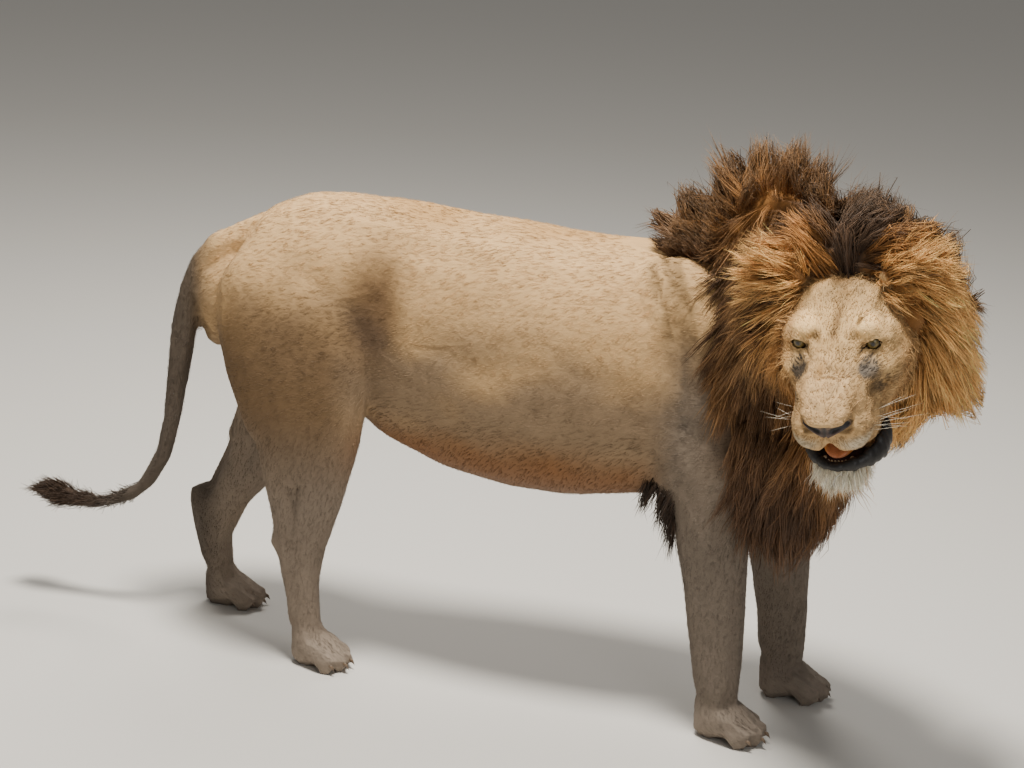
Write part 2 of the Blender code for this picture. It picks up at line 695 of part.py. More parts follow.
def add_breast_locks(bm, rng):
    """Locks that hang from the throat and breast to between the forelegs."""
    for i in range(33):
        around = math.radians(-150 + 300 * (i % 11) / 10)
        row = i // 11
        out = Vector((math.cos(around), math.sin(around), 0.0))
        root = Vector((0.750, -0.085, 0.83 - 0.09 * row)) + out * (0.105 - 0.02 * row)
        drop = 0.20 + 0.05 * rng.random()
        tip = root + out * (0.030 - 0.025 * row) + Vector((0.0, 0.0, -drop))
        tuft(bm, root, tip, 0.038, bend=(out.x * 0.022, out.y * 0.022, 0.0))


def make_core(flesh):
    """What the mane is hollowed out by: the flesh, swollen, with the cups of the ears filled."""
    core = copy_of(flesh, "core", swell=UNDER_MANE)
    bm = bmesh.new()
    bm.from_mesh(core.data)
    for side in (LEFT, RIGHT):
        ellipsoid(bm, (-0.003, 0.0, 0.032), (0.034, 0.070, 0.076), pose=ear_pose(side), detail=2)
    bm.to_mesh(core.data)
    bm.free()
    return core


def make_mane(flesh):
    rng = random.Random(4)
    bm = bmesh.new()
    add_neck_mane(bm, rng)
    add_face_ruff(bm, rng)
    add_crest(bm, rng)
    add_breast_locks(bm, rng)
    mane = merged(object_from(bm, "mane"), MANE_VOXEL, rounding=3, triangles=600)
    core = merged(make_core(flesh), CORE_VOXEL, rounding=0, triangles=880)
    cut_clear(mane, core, UNDER_MANE * 0.6)
    remove(core)
    cut_clear(mane, flesh, GAP * 2)
    return mane


# ---- finishing -----------------------------------------------------------------------------------------
def material(name):
    red, green, blue, roughness = FINISHES[name]
    made = bpy.data.materials.get(name) or bpy.data.materials.new(name)
    made.use_nodes = True
    shader = made.node_tree.nodes["Principled BSDF"]
    shader.inputs["Base Color"].default_value = (red, green, blue, 1.0)
    shader.inputs["Roughness"].default_value = roughness
    shader.inputs["Metallic"].default_value = 0.0
    return made


def finish(obj, name, finish_name):
    obj.name = name
    obj.data.name = name
    obj.data.materials.clear()
    obj.data.materials.append(material(finish_name))
    obj.data.shade_smooth()


def make_beard():
    """White hair under the chin."""
    rng = random.Random(8)
    bm = bmesh.new()
    ellipsoid(bm, (0.085, 0.0, -0.222), (0.048, 0.056, 0.030), pose=jaw_swing())
    for k in range(9):
        for row in range(2):
            y = (k - 4) * 0.0135
            root = (0.110 - 0.045 * row - 6 * y * y, y, -0.215)
            tip = (0.104 - 0.055 * row - 6 * y * y, y * 1.15, -0.280 - 0.014 * rng.random() + 4 * y * y)
            tuft(bm, root, tip, 0.013, bend=(0.004, 0.0, 0.0), pose=jaw_swing())
    return merged(object_from(bm, "beard"), 0.007, rounding=1, triangles=150, ease=1)


def make_elbow_tuft(side):
    """The dark hair behind the elbow."""
    ahead = 0.045 if side == LEFT else 0.0
    bm = bmesh.new()
    for k in range(4):
        root = (0.535 + ahead, side * (0.128 + 0.012 * k), 0.640 - 0.020 * k)
        tip = (0.472 + ahead + 0.006 * k, side * (0.132 + 0.014 * k), 0.535 - 0.022 * k)
        tuft(bm, root, tip, 0.019, bend=(-0.012, 0.0, 0.0))
    return merged(object_from(bm, "elbow_tuft"), 0.008, rounding=1, triangles=60, ease=1)


def cut_clear(obj, other, swell):
    """Takes a slightly swollen copy of the other object out of this one."""
    cutter = copy_of(other, "cutter", swell)
    boolean(obj, cutter, "DIFFERENCE")
    remove(cutter)
    keep_largest(obj)


def part_flesh(flesh):
    """Parts the flesh into its named nodes, and returns them by name."""
    nodes = {}
    for side, name in ((LEFT, "left"), (RIGHT, "right")):
        nodes["ear_" + name] = part_off(
            flesh, "ear", centre=(0.0, 0.0, 0.060), size=(0.12, 0.16, 0.110), pose=ear_pose(side)
        )
    nodes["lower_jaw"] = part_off(
        flesh, "jaw", centre=(0.095, 0, -0.225), size=(0.21, 0.24, 0.15), pose=jaw_swing()
    )
    nodes["head"] = part_off(flesh, "head", centre=(0.025, 0, -0.01), size=(0.50, 0.35, 0.44), pose=HEAD_POSE)
    nodes["neck"] = part_off(
        flesh, "neck", centre=(1.008, 0, 1.199), size=(0.80, 0.90, 0.80), tilt=(0, -35, 0)
    )
    nodes["tail_end"] = part_off(flesh, "tail", centre=(-1.135, 0, 0.27), size=(0.30, 0.14, 0.30))
    nodes["tail_middle"] = part_off(flesh, "tail", centre=(-0.90, 0, 0.29), size=(0.60, 0.14, 0.50))
    nodes["tail_root"] = part_off(
        flesh,
        "tail",
        centre=(-0.350, 0, -0.375),
        size=(0.70, 0.14, 0.75),
        pose=Matrix.Translation((-0.645, 0, 0.845)) @ Matrix.Rotation(math.radians(12.7), 4, "Y"),
    )
    for side, name in ((LEFT, "left"), (RIGHT, "right")):
        y = side * 0.205
        for node, centre, size in (
            ("forepaw_", (0.68, y, 0.0275), (0.44, 0.26, 0.255)),
            ("foreleg_", (0.66, y, 0.245), (0.44, 0.26, 0.60)),
            ("hind_foot_", (-0.48, y - side * 0.03, 0.07), (0.62, 0.32, 0.34)),
            ("hind_leg_", (-0.49, y - side * 0.03, 0.235), (0.62, 0.32, 0.67)),
        ):
            nodes[node + name] = part_off(flesh, node, centre=centre, size=size)
    nodes["trunk"] = flesh
    return nodes


def part_mane(mane):
    """Parts the mane into its named nodes, and returns them by name."""
    nodes = {}
    nodes["mane_face"] = part_off(
        mane, "face", centre=(-0.005, 0, 0.06), size=(0.42, 0.62, 0.70), pose=HEAD_POSE
    )
    nodes["mane_crest"] = part_off(mane, "crest", centre=(0.60, 0, 1.43), size=(1.20, 1.20, 0.60))
    nodes["mane_breast"] = part_off(mane, "breast", centre=(0.70, -0.1, 0.50), size=(1.20, 1.20, 0.59))
    nodes["mane_neck"] = mane
    return nodes


def set_on_origin(nodes):
    """Moves everything so that the middle of the whole, at floor level, is the origin."""
    corners = [v.co for obj in nodes.values() for v in obj.data.vertices]
    low = Vector([min(c[i] for c in corners) for i in range(3)])
    high = Vector([max(c[i] for c in corners) for i in range(3)])
    shift = Matrix.Translation((-(low.x + high.x) / 2, -(low.y + high.y) / 2, -low.z))
    for obj in nodes.values():
        obj.data.transform(shift)


def main():
    clear_scene()
    flesh, head = make_body(), make_head()
    boolean(flesh, head, "UNION")
    remove(head)
    floor = box_cell(centre=(0, 0, -0.5), size=(4, 4, 1.0))
    boolean(flesh, floor, "DIFFERENCE")
    remove(floor)
    keep_largest(flesh)

    nodes = {"nose": make_nose(), "tongue": make_tongue(), "teeth": make_teeth(), "beard": make_beard()}
    for side, name in ((LEFT, "left"), (RIGHT, "right")):
        nodes["eye_" + name] = make_eye(side)
        nodes["elbow_tuft_" + name] = make_elbow_tuft(side)
        cut_clear(nodes["elbow_tuft_" + name], flesh, GAP * 2)
    cut_clear(nodes["beard"], flesh, GAP * 2)
    mane = make_mane(flesh)
    cut_clear(mane, nodes["beard"], GAP * 2)
    for name in ("nose", "tongue", "teeth", "eye_left", "eye_right"):
        cut_clear(flesh, nodes[name], GAP * 2)
    cut_clear(nodes["tongue"], nodes["teeth"], GAP * 2)
    cut_clear(nodes["teeth"], flesh, GAP)

    nodes |= part_flesh(flesh)
    nodes |= part_mane(mane)
    set_on_origin(nodes)
    for name, obj in nodes.items():
        finish(obj, name, FINISH_OF.get(name.split("_")[0], "coat"))


main()
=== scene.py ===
"""A grown male lion as a museum model makes it: one sculpted skin, a short coat laid over it in tufts, and a
mane of long tapered locks, with glass eyes, a bare nose, an open mouth, whiskers and claws.

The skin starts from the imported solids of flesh, and every other piece is placed from that skin, from the eyes
or from the paws. Metres, +X towards the chest, +Y to the animal's left, +Z up.
"""

import math

import bmesh
import bpy
import numpy as np
from mathutils import Matrix, Vector
from mathutils.bvhtree import BVHTree


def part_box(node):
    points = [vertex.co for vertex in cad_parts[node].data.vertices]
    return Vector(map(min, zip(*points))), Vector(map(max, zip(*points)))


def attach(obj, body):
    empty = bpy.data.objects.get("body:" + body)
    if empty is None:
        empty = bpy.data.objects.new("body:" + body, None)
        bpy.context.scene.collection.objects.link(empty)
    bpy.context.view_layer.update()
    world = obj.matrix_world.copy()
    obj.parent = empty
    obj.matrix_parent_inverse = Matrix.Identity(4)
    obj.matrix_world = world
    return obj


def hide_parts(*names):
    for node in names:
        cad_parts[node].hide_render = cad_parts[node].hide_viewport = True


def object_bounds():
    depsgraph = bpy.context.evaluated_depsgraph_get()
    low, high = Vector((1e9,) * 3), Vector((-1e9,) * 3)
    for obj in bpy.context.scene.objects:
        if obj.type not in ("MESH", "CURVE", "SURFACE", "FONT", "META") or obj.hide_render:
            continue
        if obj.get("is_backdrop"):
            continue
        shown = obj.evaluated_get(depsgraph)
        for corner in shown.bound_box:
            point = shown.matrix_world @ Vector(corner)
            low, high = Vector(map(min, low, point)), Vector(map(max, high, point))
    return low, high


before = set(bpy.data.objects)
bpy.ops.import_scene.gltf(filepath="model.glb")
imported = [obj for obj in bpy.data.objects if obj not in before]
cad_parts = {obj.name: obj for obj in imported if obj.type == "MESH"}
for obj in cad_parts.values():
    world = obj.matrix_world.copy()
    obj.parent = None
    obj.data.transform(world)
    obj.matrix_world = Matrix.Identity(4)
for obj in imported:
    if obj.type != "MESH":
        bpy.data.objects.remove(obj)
CAD_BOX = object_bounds()

# ---- places, from the frame ----
HEAD_YAW, HEAD_PITCH, HEAD_ROLL = -92.0, 19.0, 9.0  # degrees: to the right, nose down, left side up
HEAD_REACH = 0.36  # no part of the head lies further from the head's origin
EYE_RADIUS = 0.0195
EYE_DEPTH = 0.015  # how far the eyes' centres lie behind the head's origin
EYE_HALF_SPACING = 0.074
EYE_SPREAD = 16.0  # degrees each eye looks outwards
EYE_AREA = 0.034  # how far round an eye's centre its bare rim and lashes reach
NOSE_END = (0.165, 0.0, -0.098)

LEFT, RIGHT = 1, -1
SIDES = {LEFT: "left", RIGHT: "right"}


def turn(degrees, axis):
    return Matrix.Rotation(math.radians(degrees), 4, axis)


def middle_of(node):
    low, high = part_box(node)
    return (low + high) / 2


BETWEEN_EYES = (middle_of("eye_left") + middle_of("eye_right")) / 2
HEAD_TURN = turn(HEAD_YAW, "Z") @ turn(HEAD_PITCH, "Y") @ turn(HEAD_ROLL, "X")
# The head's own frame: +X to the nose, +Y to its left, +Z to the crown.
HEAD = Matrix.Translation(BETWEEN_EYES) @ HEAD_TURN @ Matrix.Translation((EYE_DEPTH, 0, 0))
# The body's own frame: the sagittal plane is y = 0 and the floor is z = 0.
BODY = Matrix.Translation([HEAD.translation[k] - (0.875, -0.42, 1.035)[k] for k in range(3)])


def jaw_frame():
    """The lower jaw's frame: the head's, swung open about the hinge."""
    hinge = Vector((-0.13, 0.0, -0.085))
    return HEAD @ Matrix.Translation(hinge) @ turn(10.0, "Y") @ Matrix.Translation(-hinge)


def in_frame(points, frame_matrix):
    """The same points as a frame's own coordinates."""
    back = np.array(frame_matrix.inverted())
    return points @ back[:3, :3].T + back[:3, 3]


def in_row(points, frame_matrix):
    """A frame's own points as the row's coordinates."""
    forth = np.array(frame_matrix)
    return points @ forth[:3, :3].T + forth[:3, 3]


def both_frames(points):
    """The same points in the body's and in the head's own frame."""
    return in_frame(points, BODY), in_frame(points, HEAD)


def turned(directions, frame_matrix):
    """A frame's own directions as the row's."""
    return directions @ np.array(frame_matrix)[:3, :3].T


# ---- small maths ----
def norm(vectors):
    """How long each vector is."""
    return np.linalg.norm(vectors, axis=-1)


def unit(vectors):
    return vectors / np.maximum(norm(vectors)[..., None], 1e-9)


def dots(a, b):
    """The dot product of each row of a with that row of b."""
    return np.einsum("ij,ij->i", a, b)


def rise(values, low, high):
    """0 below low, 1 above high, smooth between. low may be the greater."""
    t = np.clip((values - low) / (high - low), 0.0, 1.0)
    return t * t * (3.0 - 2.0 * t)


def fade(values, low, high):
    """1 below low, 0 above high, smooth between."""
    return 1.0 - rise(values, low, high)


def spot(points, centre, radii):
    """1 at a centre and 0 outside the ellipsoid of those radii round it."""
    return fade(norm((points - np.array(centre)) / np.array(radii)), 0.0, 1.0)


def stroke(points, corners, width):
    """1 along the bent line through those corners, fading out over that width."""
    corners = np.array(corners)
    gap = np.full(len(points), 1e9)
    for start, end in zip(corners[:-1], corners[1:]):
        run = end - start
        along = np.clip((points - start) @ run / (run @ run), 0.0, 1.0)
        gap = np.minimum(gap, norm(points - start - along[:, None] * run))
    return np.exp(-((gap / width) ** 2))


def waves(points, size, seed):
    """Smooth noise from about -1 to 1, whose patches are about that size across."""
    rng = np.random.default_rng(seed)
    total = np.zeros(len(points))
    for _ in range(7):
        run = rng.normal(size=3)
        run *= 2.6 / (size * np.linalg.norm(run)) * rng.uniform(0.6, 1.5)
        total += np.sin(points @ run + rng.uniform(0, 6.28) + 1.7 * np.sin(points @ run[::-1] * 0.6))
    return total / 4.0


def mixed(a, b, share):
    """From a to b by a share for each row."""
    return a + (np.asarray(b) - a) * np.asarray(share)[..., None]


# ---- meshes and arrays ----
def new_object(name, data):
    piece = bpy.data.objects.new(name, data)
    bpy.context.scene.collection.objects.link(piece)
    return piece


def only(piece):
    """Selects that piece and nothing else."""
    bpy.ops.object.select_all(action="DESELECT")
    piece.select_set(True)
    bpy.context.view_layer.objects.active = piece


def modified(piece, kind, **settings):
    """Adds a modifier, sets it and applies it."""
    only(piece)
    added = piece.modifiers.new(kind.lower(), kind)
    for name, value in settings.items():
        setattr(added, name, value)
    bpy.ops.object.modifier_apply(modifier=added.name)


def read(rows, field, width, kind=float):
    """One field of every row of a mesh's table, so many numbers wide."""
    values = np.zeros(len(rows) * width, dtype=kind)
    rows.foreach_get(field, values)
    return values.reshape(-1, width)


def points_of(piece):
    return read(piece.data.vertices, "co", 3)


def normals_of(piece):
    return read(piece.data.vertices, "normal", 3)


def set_points(piece, points):
    piece.data.vertices.foreach_set("co", np.ascontiguousarray(points, dtype=np.float32).ravel())
    piece.data.update()


def paint(piece, colours):
    """Gives each vertex its colour, red, green and blue."""
    layer = piece.data.color_attributes.new("shade", "FLOAT_COLOR", "POINT")
    rows = np.column_stack([np.clip(colours, 0.0, 1.0), np.ones(len(colours))])
    layer.data.foreach_set("color", rows.astype(np.float32).ravel())


def keep_largest(piece):
    """Drops every loose scrap of the mesh but the largest."""
    bm = bmesh.new()
    bm.from_mesh(piece.data)
    islands, left = [], set(bm.verts)
    while left:
        todo, island = [left.pop()], set()
        while todo:
            vert = todo.pop()
            island.add(vert)
            for edge in vert.link_edges:
                other = edge.other_vert(vert)
                if other in left:
                    left.remove(other)
                    todo.append(other)
        islands.append(island)
    islands.sort(key=len)
    scraps = [vert for island in islands[:-1] for vert in island]
    bmesh.ops.delete(bm, geom=scraps, context="VERTS")
    bm.to_mesh(piece.data)
    bm.free()


def joined(pieces, name):
    """One piece made of several."""
    only(pieces[0])
    for piece in pieces:
        piece.select_set(True)
    bpy.ops.object.join()
    pieces[0].name = name
    return pieces[0]


def joined_copy(nodes, name):
    """One new object that holds a copy of each node's mesh, with its loose triangles merged."""
    bm = bmesh.new()
    for node in nodes:
        bm.from_mesh(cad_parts[node].data)
    bmesh.ops.remove_doubles(bm, verts=bm.verts, dist=0.00002)
    mesh = bpy.data.meshes.new(name)
    bm.to_mesh(mesh)
    bm.free()
    return new_object(name, mesh)


def tree_of(piece):
    bm = bmesh.new()
    bm.from_mesh(piece.data)
    tree = BVHTree.FromBMesh(bm)
    bm.free()
    return tree


class Surface:
    """A mesh's triangles as arrays, to scatter roots over."""

    def __init__(self, piece):
        mesh = piece.data
        mesh.calc_loop_triangles()
        self.corners = read(mesh.loop_triangles, "vertices", 3, np.int32)
        self.points = points_of(piece)
        self.normals = normals_of(piece)
        a, b, c = (self.points[self.corners[:, k]] for k in range(3))
        self.areas = norm(np.cross(b - a, c - a)) / 2
        self.centres = (a + b + c) / 3
        self.places = None
        if mesh.uv_layers:
            loops = read(mesh.loop_triangles, "loops", 3, np.int32)
            self.places = read(mesh.uv_layers[0].data, "uv", 2)[loops]

    def scatter(self, count, weights, rng):
        """That many roots, denser where a triangle's weight is greater: points, normals, unwrap places."""
        share = np.cumsum(self.areas * weights)
        picks = np.searchsorted(share, rng.uniform(0.0, share[-1], count))
        picks = np.minimum(picks, len(self.areas) - 1)
        u, v = rng.uniform(size=(2, count, 1))
        fold = (u + v) > 1.0
        u, v = np.where(fold, 1 - u, u), np.where(fold, 1 - v, v)
        spans = [1 - u - v, u, v]
        corners = self.corners[picks]
        points = sum(self.points[corners[:, k]] * spans[k] for k in range(3))
        normals = unit(sum(self.normals[corners[:, k]] * spans[k] for k in range(3)))
        places = None
        if self.places is not None:
            places = sum(self.places[picks, k] * spans[k] for k in range(3))
        return points, normals, places


def nearest(tree, points):
    """The nearest point of a tree's mesh to each point, the face's normal there, and the height above it."""
    found = [tree.find_nearest(point) for point in points.tolist()]
    places = np.array([hit[0] for hit in found])
    normals = np.array([hit[1] for hit in found])
    return places, normals, dots(points - places, normals)


def alike(value, points):
    """The same row for every point."""
    return np.tile(value, (len(points), 1))


# ---- materials ----
class Wire:
    """A node's output socket. Arithmetic on it adds the Math nodes that work it out."""

    def __init__(self, finish, socket):
        self.finish = finish
        self.socket = socket

    def _with(self, operation, *values):
        return self.finish.node("Math", {"operation": operation}, dict(enumerate(values)))

    def __add__(self, other):
        return self._with("ADD", self, other)

    def __sub__(self, other):
        return self._with("SUBTRACT", self, other)

    def __rsub__(self, other):
        return self._with("SUBTRACT", other, self)

    def __mul__(self, other):
        return self._with("MULTIPLY", self, other)

    def __truediv__(self, other):
        return self._with("DIVIDE", self, other)

    def __pow__(self, other):
        return self._with("POWER", self, other)

    __radd__ = __add__
    __rmul__ = __mul__


class Finish:
    """A material on one Principled shader. Keywords set its constant sockets."""

    def __init__(self, name, **constants):
        self.material = bpy.data.materials.new(name)
        self.material.use_nodes = True
        self.nodes = self.material.node_tree.nodes
        self.links = self.material.node_tree.links
        self.shader = self.nodes["Principled BSDF"]
        for socket, value in constants.items():
            self.set(socket.replace("_", " "), value)

    def node(self, kind, settings, inputs, output=0):
        """Adds any node: its settings first, then its sockets' values or links."""
        made = self.nodes.new("ShaderNode" + kind)
        for name, value in settings.items():
            if name == "stops":
                ramp = made.color_ramp.elements
                while len(ramp) < len(value):
                    ramp.new(0.5)
                for element, (position, colour) in zip(ramp, value):
                    element.position = position
                    element.color = (*colour, 1.0)
            else:
                setattr(made, name, value)
        for socket, value in inputs.items():
            self.plug(made.inputs[socket], value)
        return Wire(self, made.outputs[output])

    def plug(self, socket, value):
        """Links a socket or gives it a constant."""
        if isinstance(value, Wire):
            self.links.new(value.socket, socket)
        else:
            socket.default_value = value

    def set(self, socket, value):
        """Sets or links one socket of the shader."""
        self.plug(self.shader.inputs[socket], value)

    def coordinates(self):
        return self.node("TexCoord", {}, {}, output="Object")

    def noise(self, vector, scale, detail=3.0, roughness=0.55):
        sockets = {"Vector": vector, "Scale": scale, "Detail": detail, "Roughness": roughness}
        return self.node("TexNoise", {}, sockets)

    def spread(self, vector, stretch):
        """A vector scaled apart along each axis."""
        return self.node("VectorMath", {"operation": "MULTIPLY"}, {0: vector, 1: stretch})

    def show_paint(self, strength):
        """Shows the colours painted on the piece, lighter or darker by a number round 1."""
        painted = self.node("Attribute", {"attribute_name": "shade"}, {})
        sockets = {0: painted, "Scale": strength}
        self.set("Base Color", self.node("VectorMath", {"operation": "SCALE"}, sockets))

    def ramp(self, factor, stops):
        return self.node("ValToRGB", {"stops": stops}, {0: factor})

    def bump(self, height, distance, strength=1.0):
        sockets = {"Height": height, "Distance": distance, "Strength": strength}
        self.set("Normal", self.node("Bump", {}, sockets))


def hide_finish():
    """Short fur lying flat: the painted markings with their painted light and shade, a fine nap and faint grey
    ticking.
    """
    looks = {"Roughness": 0.8, "Specular_IOR_Level": 0.12, "Sheen_Weight": 0.02, "Sheen_Roughness": 0.5}
    finish = Finish("short_coat", **looks)
    at = finish.coordinates()
    nap = finish.noise(finish.spread(at, (55.0, 260.0, 130.0)), 1.0, 4.0, 0.6)
    ticking = finish.noise(at, 420.0, 2.0)
    patches = finish.noise(at, 26.0, 3.0)
    strength = 0.62 + nap * 0.34 + ticking * 0.22 + patches * 0.2
    finish.show_paint(strength)
    finish.bump(nap * 0.6 + ticking * 0.4, 0.0035, 0.7)
    return finish.material


def hair_finish(name, roughness):
    """Hair in locks: each strand carries its own colour."""
    looks = {"Roughness": roughness, "Specular_IOR_Level": 0.22, "Sheen_Weight": 0.02, "Sheen_Roughness": 0.4}
    finish = Finish(name, **looks)
    ticking = finish.noise(finish.coordinates(), 300.0, 2.0)
    finish.show_paint(0.75 + ticking * 0.5)
    return finish.material


# ---- the skin ----
FLESH = (
    "trunk neck head lower_jaw ear_left ear_right foreleg_left foreleg_right forepaw_left forepaw_right "
    "hind_leg_left hind_leg_right hind_foot_left hind_foot_right tail_root tail_middle tail_end"
).split()
SKIN_VOXEL = 0.005
SKIN_FACES = 84000  # of the body, before the face is refined
COAT_DEPTH = 0.005  # how far the skin lies inside the solids on the body
FACE_DEPTH = 0.002
FLOOR_REACH = 0.004  # lower points are laid flat as soles
SOLE_HEIGHT = 0.0008  # the soles stand this far above the floor
# Forms of the body that show through the skin, on both sides: place, radii, height.
BODY_FORMS = (
    ((-0.37, 0.12, 1.01), (0.08, 0.07, 0.05), 0.007),  # point of the hip
    ((-0.195, 0.15, 0.9), (0.07, 0.1, 0.15), -0.014),  # flank
    ((-0.27, 0.17, 0.74), (0.07, 0.09, 0.2), 0.006),  # front of the thigh
    ((-0.445, 0.16, 0.82), (0.03, 0.09, 0.2), -0.006),  # between the muscles of the thigh
    ((-0.52, 0.12, 0.8), (0.06, 0.09, 0.17), 0.005),
    ((0.465, 0.16, 1.0), (0.05, 0.1, 0.12), 0.007),  # edge of the shoulder blade
    ((0.56, 0.19, 0.8), (0.08, 0.08, 0.11), 0.006),  # point of the shoulder
    ((0.435, 0.18, 0.7), (0.04, 0.09, 0.12), -0.009),  # behind the elbow
    ((0.505, 0.15, 0.59), (0.04, 0.06, 0.05), 0.006),  # elbow
    ((0.6, 0.19, 0.5), (0.04, 0.05, 0.11), 0.004),  # forearm
)
# Folds of loose skin, seen from the side: side, corners ahead and up, half width, depth. The first have painted
# shade along them.
BODY_FOLDS = (
    (RIGHT, ((0.45, 1.09), (0.5, 1.015), (0.524, 0.93), (0.548, 0.735)), 0.011, 0.009),
    (RIGHT, ((0.478, 1.09), (0.528, 1.0), (0.552, 0.9)), 0.009, 0.006),
    (RIGHT, ((0.43, 1.07), (0.476, 0.99), (0.5, 0.9)), 0.009, 0.004),
    (RIGHT, ((-0.06, 0.83), (0.12, 0.786), (0.235, 0.7)), 0.014, 0.005),
    (RIGHT, ((0.24, 0.84), (0.33, 0.81), (0.4, 0.77)), 0.013, 0.004),
    (LEFT, ((-0.05, 0.82), (0.13, 0.775), (0.25, 0.71)), 0.014, 0.005),
    (LEFT, ((0.43, 1.02), (0.47, 0.9), (0.48, 0.79)), 0.014, 0.006),
    (RIGHT, ((-0.374, 0.32), (-0.348, 0.45)), 0.012, 0.012),
    (LEFT, ((-0.69, 0.3), (-0.64, 0.43)), 0.012, 0.012),
)
SHADED_FOLDS = 3


def mirrored(place, side):
    """A place given for the left, on that side."""
    return place[0], side * place[1], place[2]


def side_stroke(b, side, corners, width):
    """A stroke on one side of the body, wherever the body's surface lies."""
    flat = np.insert(corners, 1, 0.0, axis=1)
    return stroke(b * (1.0, 0.0, 1.0), flat, width) * (b[:, 1] * side > 0)


def sculpt_body(b, n):
    """Moves the body's points along their normals: bones and muscles that show, hollows, ribs and folds."""
    move = 0.0012 * waves(b, 0.05, 6)
    for place, radii, height in BODY_FORMS:
        for side in SIDES:
            move += height * spot(b, mirrored(place, side), radii)
    for side, corners, width, depth in BODY_FOLDS:
        move -= depth * side_stroke(b, side, corners, width)
    x, y, z = b.T
    ribs = rise(x, -0.14, -0.02) * fade(x, 0.32, 0.42) * rise(z, 0.6, 0.72) * fade(z, 0.9, 1.0)
    move += 0.0012 * ribs * np.sin((x + 0.4 * z) * 2 * math.pi / 0.058) * rise(np.abs(y), 0.1, 0.15)
    return b + n * move[:, None]


def thin_body(skin, faces):
    """Thins the mesh behind the face, and leaves the face as fine as it is."""
    h = in_frame(points_of(skin), HEAD)
    body = skin.vertex_groups.new(name="body")
    behind = np.nonzero((h[:, 0] < -0.13) | (np.abs(h[:, 1]) > 0.15) | (h[:, 2] < -0.31))[0]
    body.add(behind.tolist(), 1.0, "REPLACE")
    now = len(skin.data.polygons)
    modified(skin, "DECIMATE", ratio=faces / (2 * now), vertex_group="body")
    skin.vertex_groups.clear()


def refine(skin, wanted):
    """Splits each edge that is longer than wanted(middle) says, then makes all faces triangles."""
    bm = bmesh.new()
    bm.from_mesh(skin.data)
    bmesh.ops.triangulate(bm, faces=bm.faces)
    for _ in range(3):
        middles = np.array([(e.verts[0].co + e.verts[1].co) / 2 for e in bm.edges])
        lengths = np.array([e.calc_length() for e in bm.edges])
        long = lengths > wanted(middles) * 1.35
        if not long.any():
            break
        edges = [e for e, is_long in zip(bm.edges, long) if is_long]
        bmesh.ops.subdivide_edges(bm, edges=edges, cuts=1)
        bmesh.ops.triangulate(bm, faces=bm.faces, quad_method="SHORT_EDGE")
    bm.to_mesh(skin.data)
    bm.free()


def face_grain(points):
    """How long an edge may be: fine round the eyes, nose and lips, coarser over the face, no limit behind."""
    h = in_frame(points, HEAD)
    x, y, z = h.T
    near = norm(np.column_stack([x, np.abs(y) - EYE_HALF_SPACING, z]))
    grain = np.where((x > -0.09) & (np.abs(y) < 0.15), 0.0042, 1.0)
    grain = np.where((x > 0.05) & (z < 0.02) & (z > -0.19), 0.003, grain)
    grain = np.where((x > -0.13) & (z > 0.0) & (np.abs(y) < 0.115), 0.0032, grain)
    grain = np.where((x > 0.125) & (z < -0.07) & (z > -0.165), 0.0022, grain)
    return np.where((near < 0.03) & (x > -0.03), 0.0018, grain)


def seen_from_eye(h, side):
    """Each point seen from the eye's centre: distance, degrees outwards, degrees up and the lids' opening.

    The opening is above 0 inside the half-closed eye and 0 along its lids, in degrees. Its inner corner dips.
    Behind the eye the distance has no limit.
    """
    from_eye = h - (-EYE_DEPTH, side * EYE_HALF_SPACING, 0.0)
    from_eye = from_eye @ np.array(turn(side * -EYE_SPREAD, "Z"))[:3, :3].T
    ahead = np.maximum(from_eye[:, 0], 1e-4)
    outwards = np.degrees(np.arctan2(from_eye[:, 1] * side, ahead))
    upwards = np.degrees(np.arctan2(from_eye[:, 2], ahead))
    along = np.clip((outwards + 2.0) / 52.0, -1.0, 1.0)
    middle = 1.0 + 5.0 * along - 7.0 * rise(-along, 0.35, 1.0)
    upper = middle + 0.5 * (1.0 - along**2) ** 0.6
    lower = middle - 8.5 * (1.0 - along**2) ** 0.75
    opening = np.minimum(upper - upwards, upwards - lower) - 60.0 * rise(np.abs(along), 0.97, 1.0)
    distance = np.where(from_eye[:, 0] > 0, norm(from_eye), np.inf)
    return distance, outwards, upwards, opening


def sculpt_eyes(h):
    """Lays the lids over the eyeballs, with a half-closed opening, a fold above and a pouch below."""
    for side in SIDES:
        centre = np.array((-EYE_DEPTH, side * EYE_HALF_SPACING, 0.0))
        distance, outwards, upwards, opening = seen_from_eye(h, side)
        lid = np.where(distance < 0.06, fade(np.hypot(outwards * 0.8, upwards), 26.0, 62.0), 0.0)
        edge = rise(opening, -9.0, -1.0)
        radius = EYE_RADIUS + np.where(upwards > 0, 0.0042, 0.0028) - 0.001 * edge
        fold = np.exp(-(((opening + 15.0) / 5.0) ** 2)) - 0.7 * np.exp(-(((opening + 25.0) / 5.0) ** 2))
        radius = np.where(upwards > 0, radius + 0.0022 * fold, radius)
        radius = np.where(opening > 0.0, EYE_RADIUS - 0.004, radius)
        placed = centre + (h - centre) * (radius / np.maximum(distance, 1e-6))[:, None]
        h = mixed(h, placed, lid)
    return h


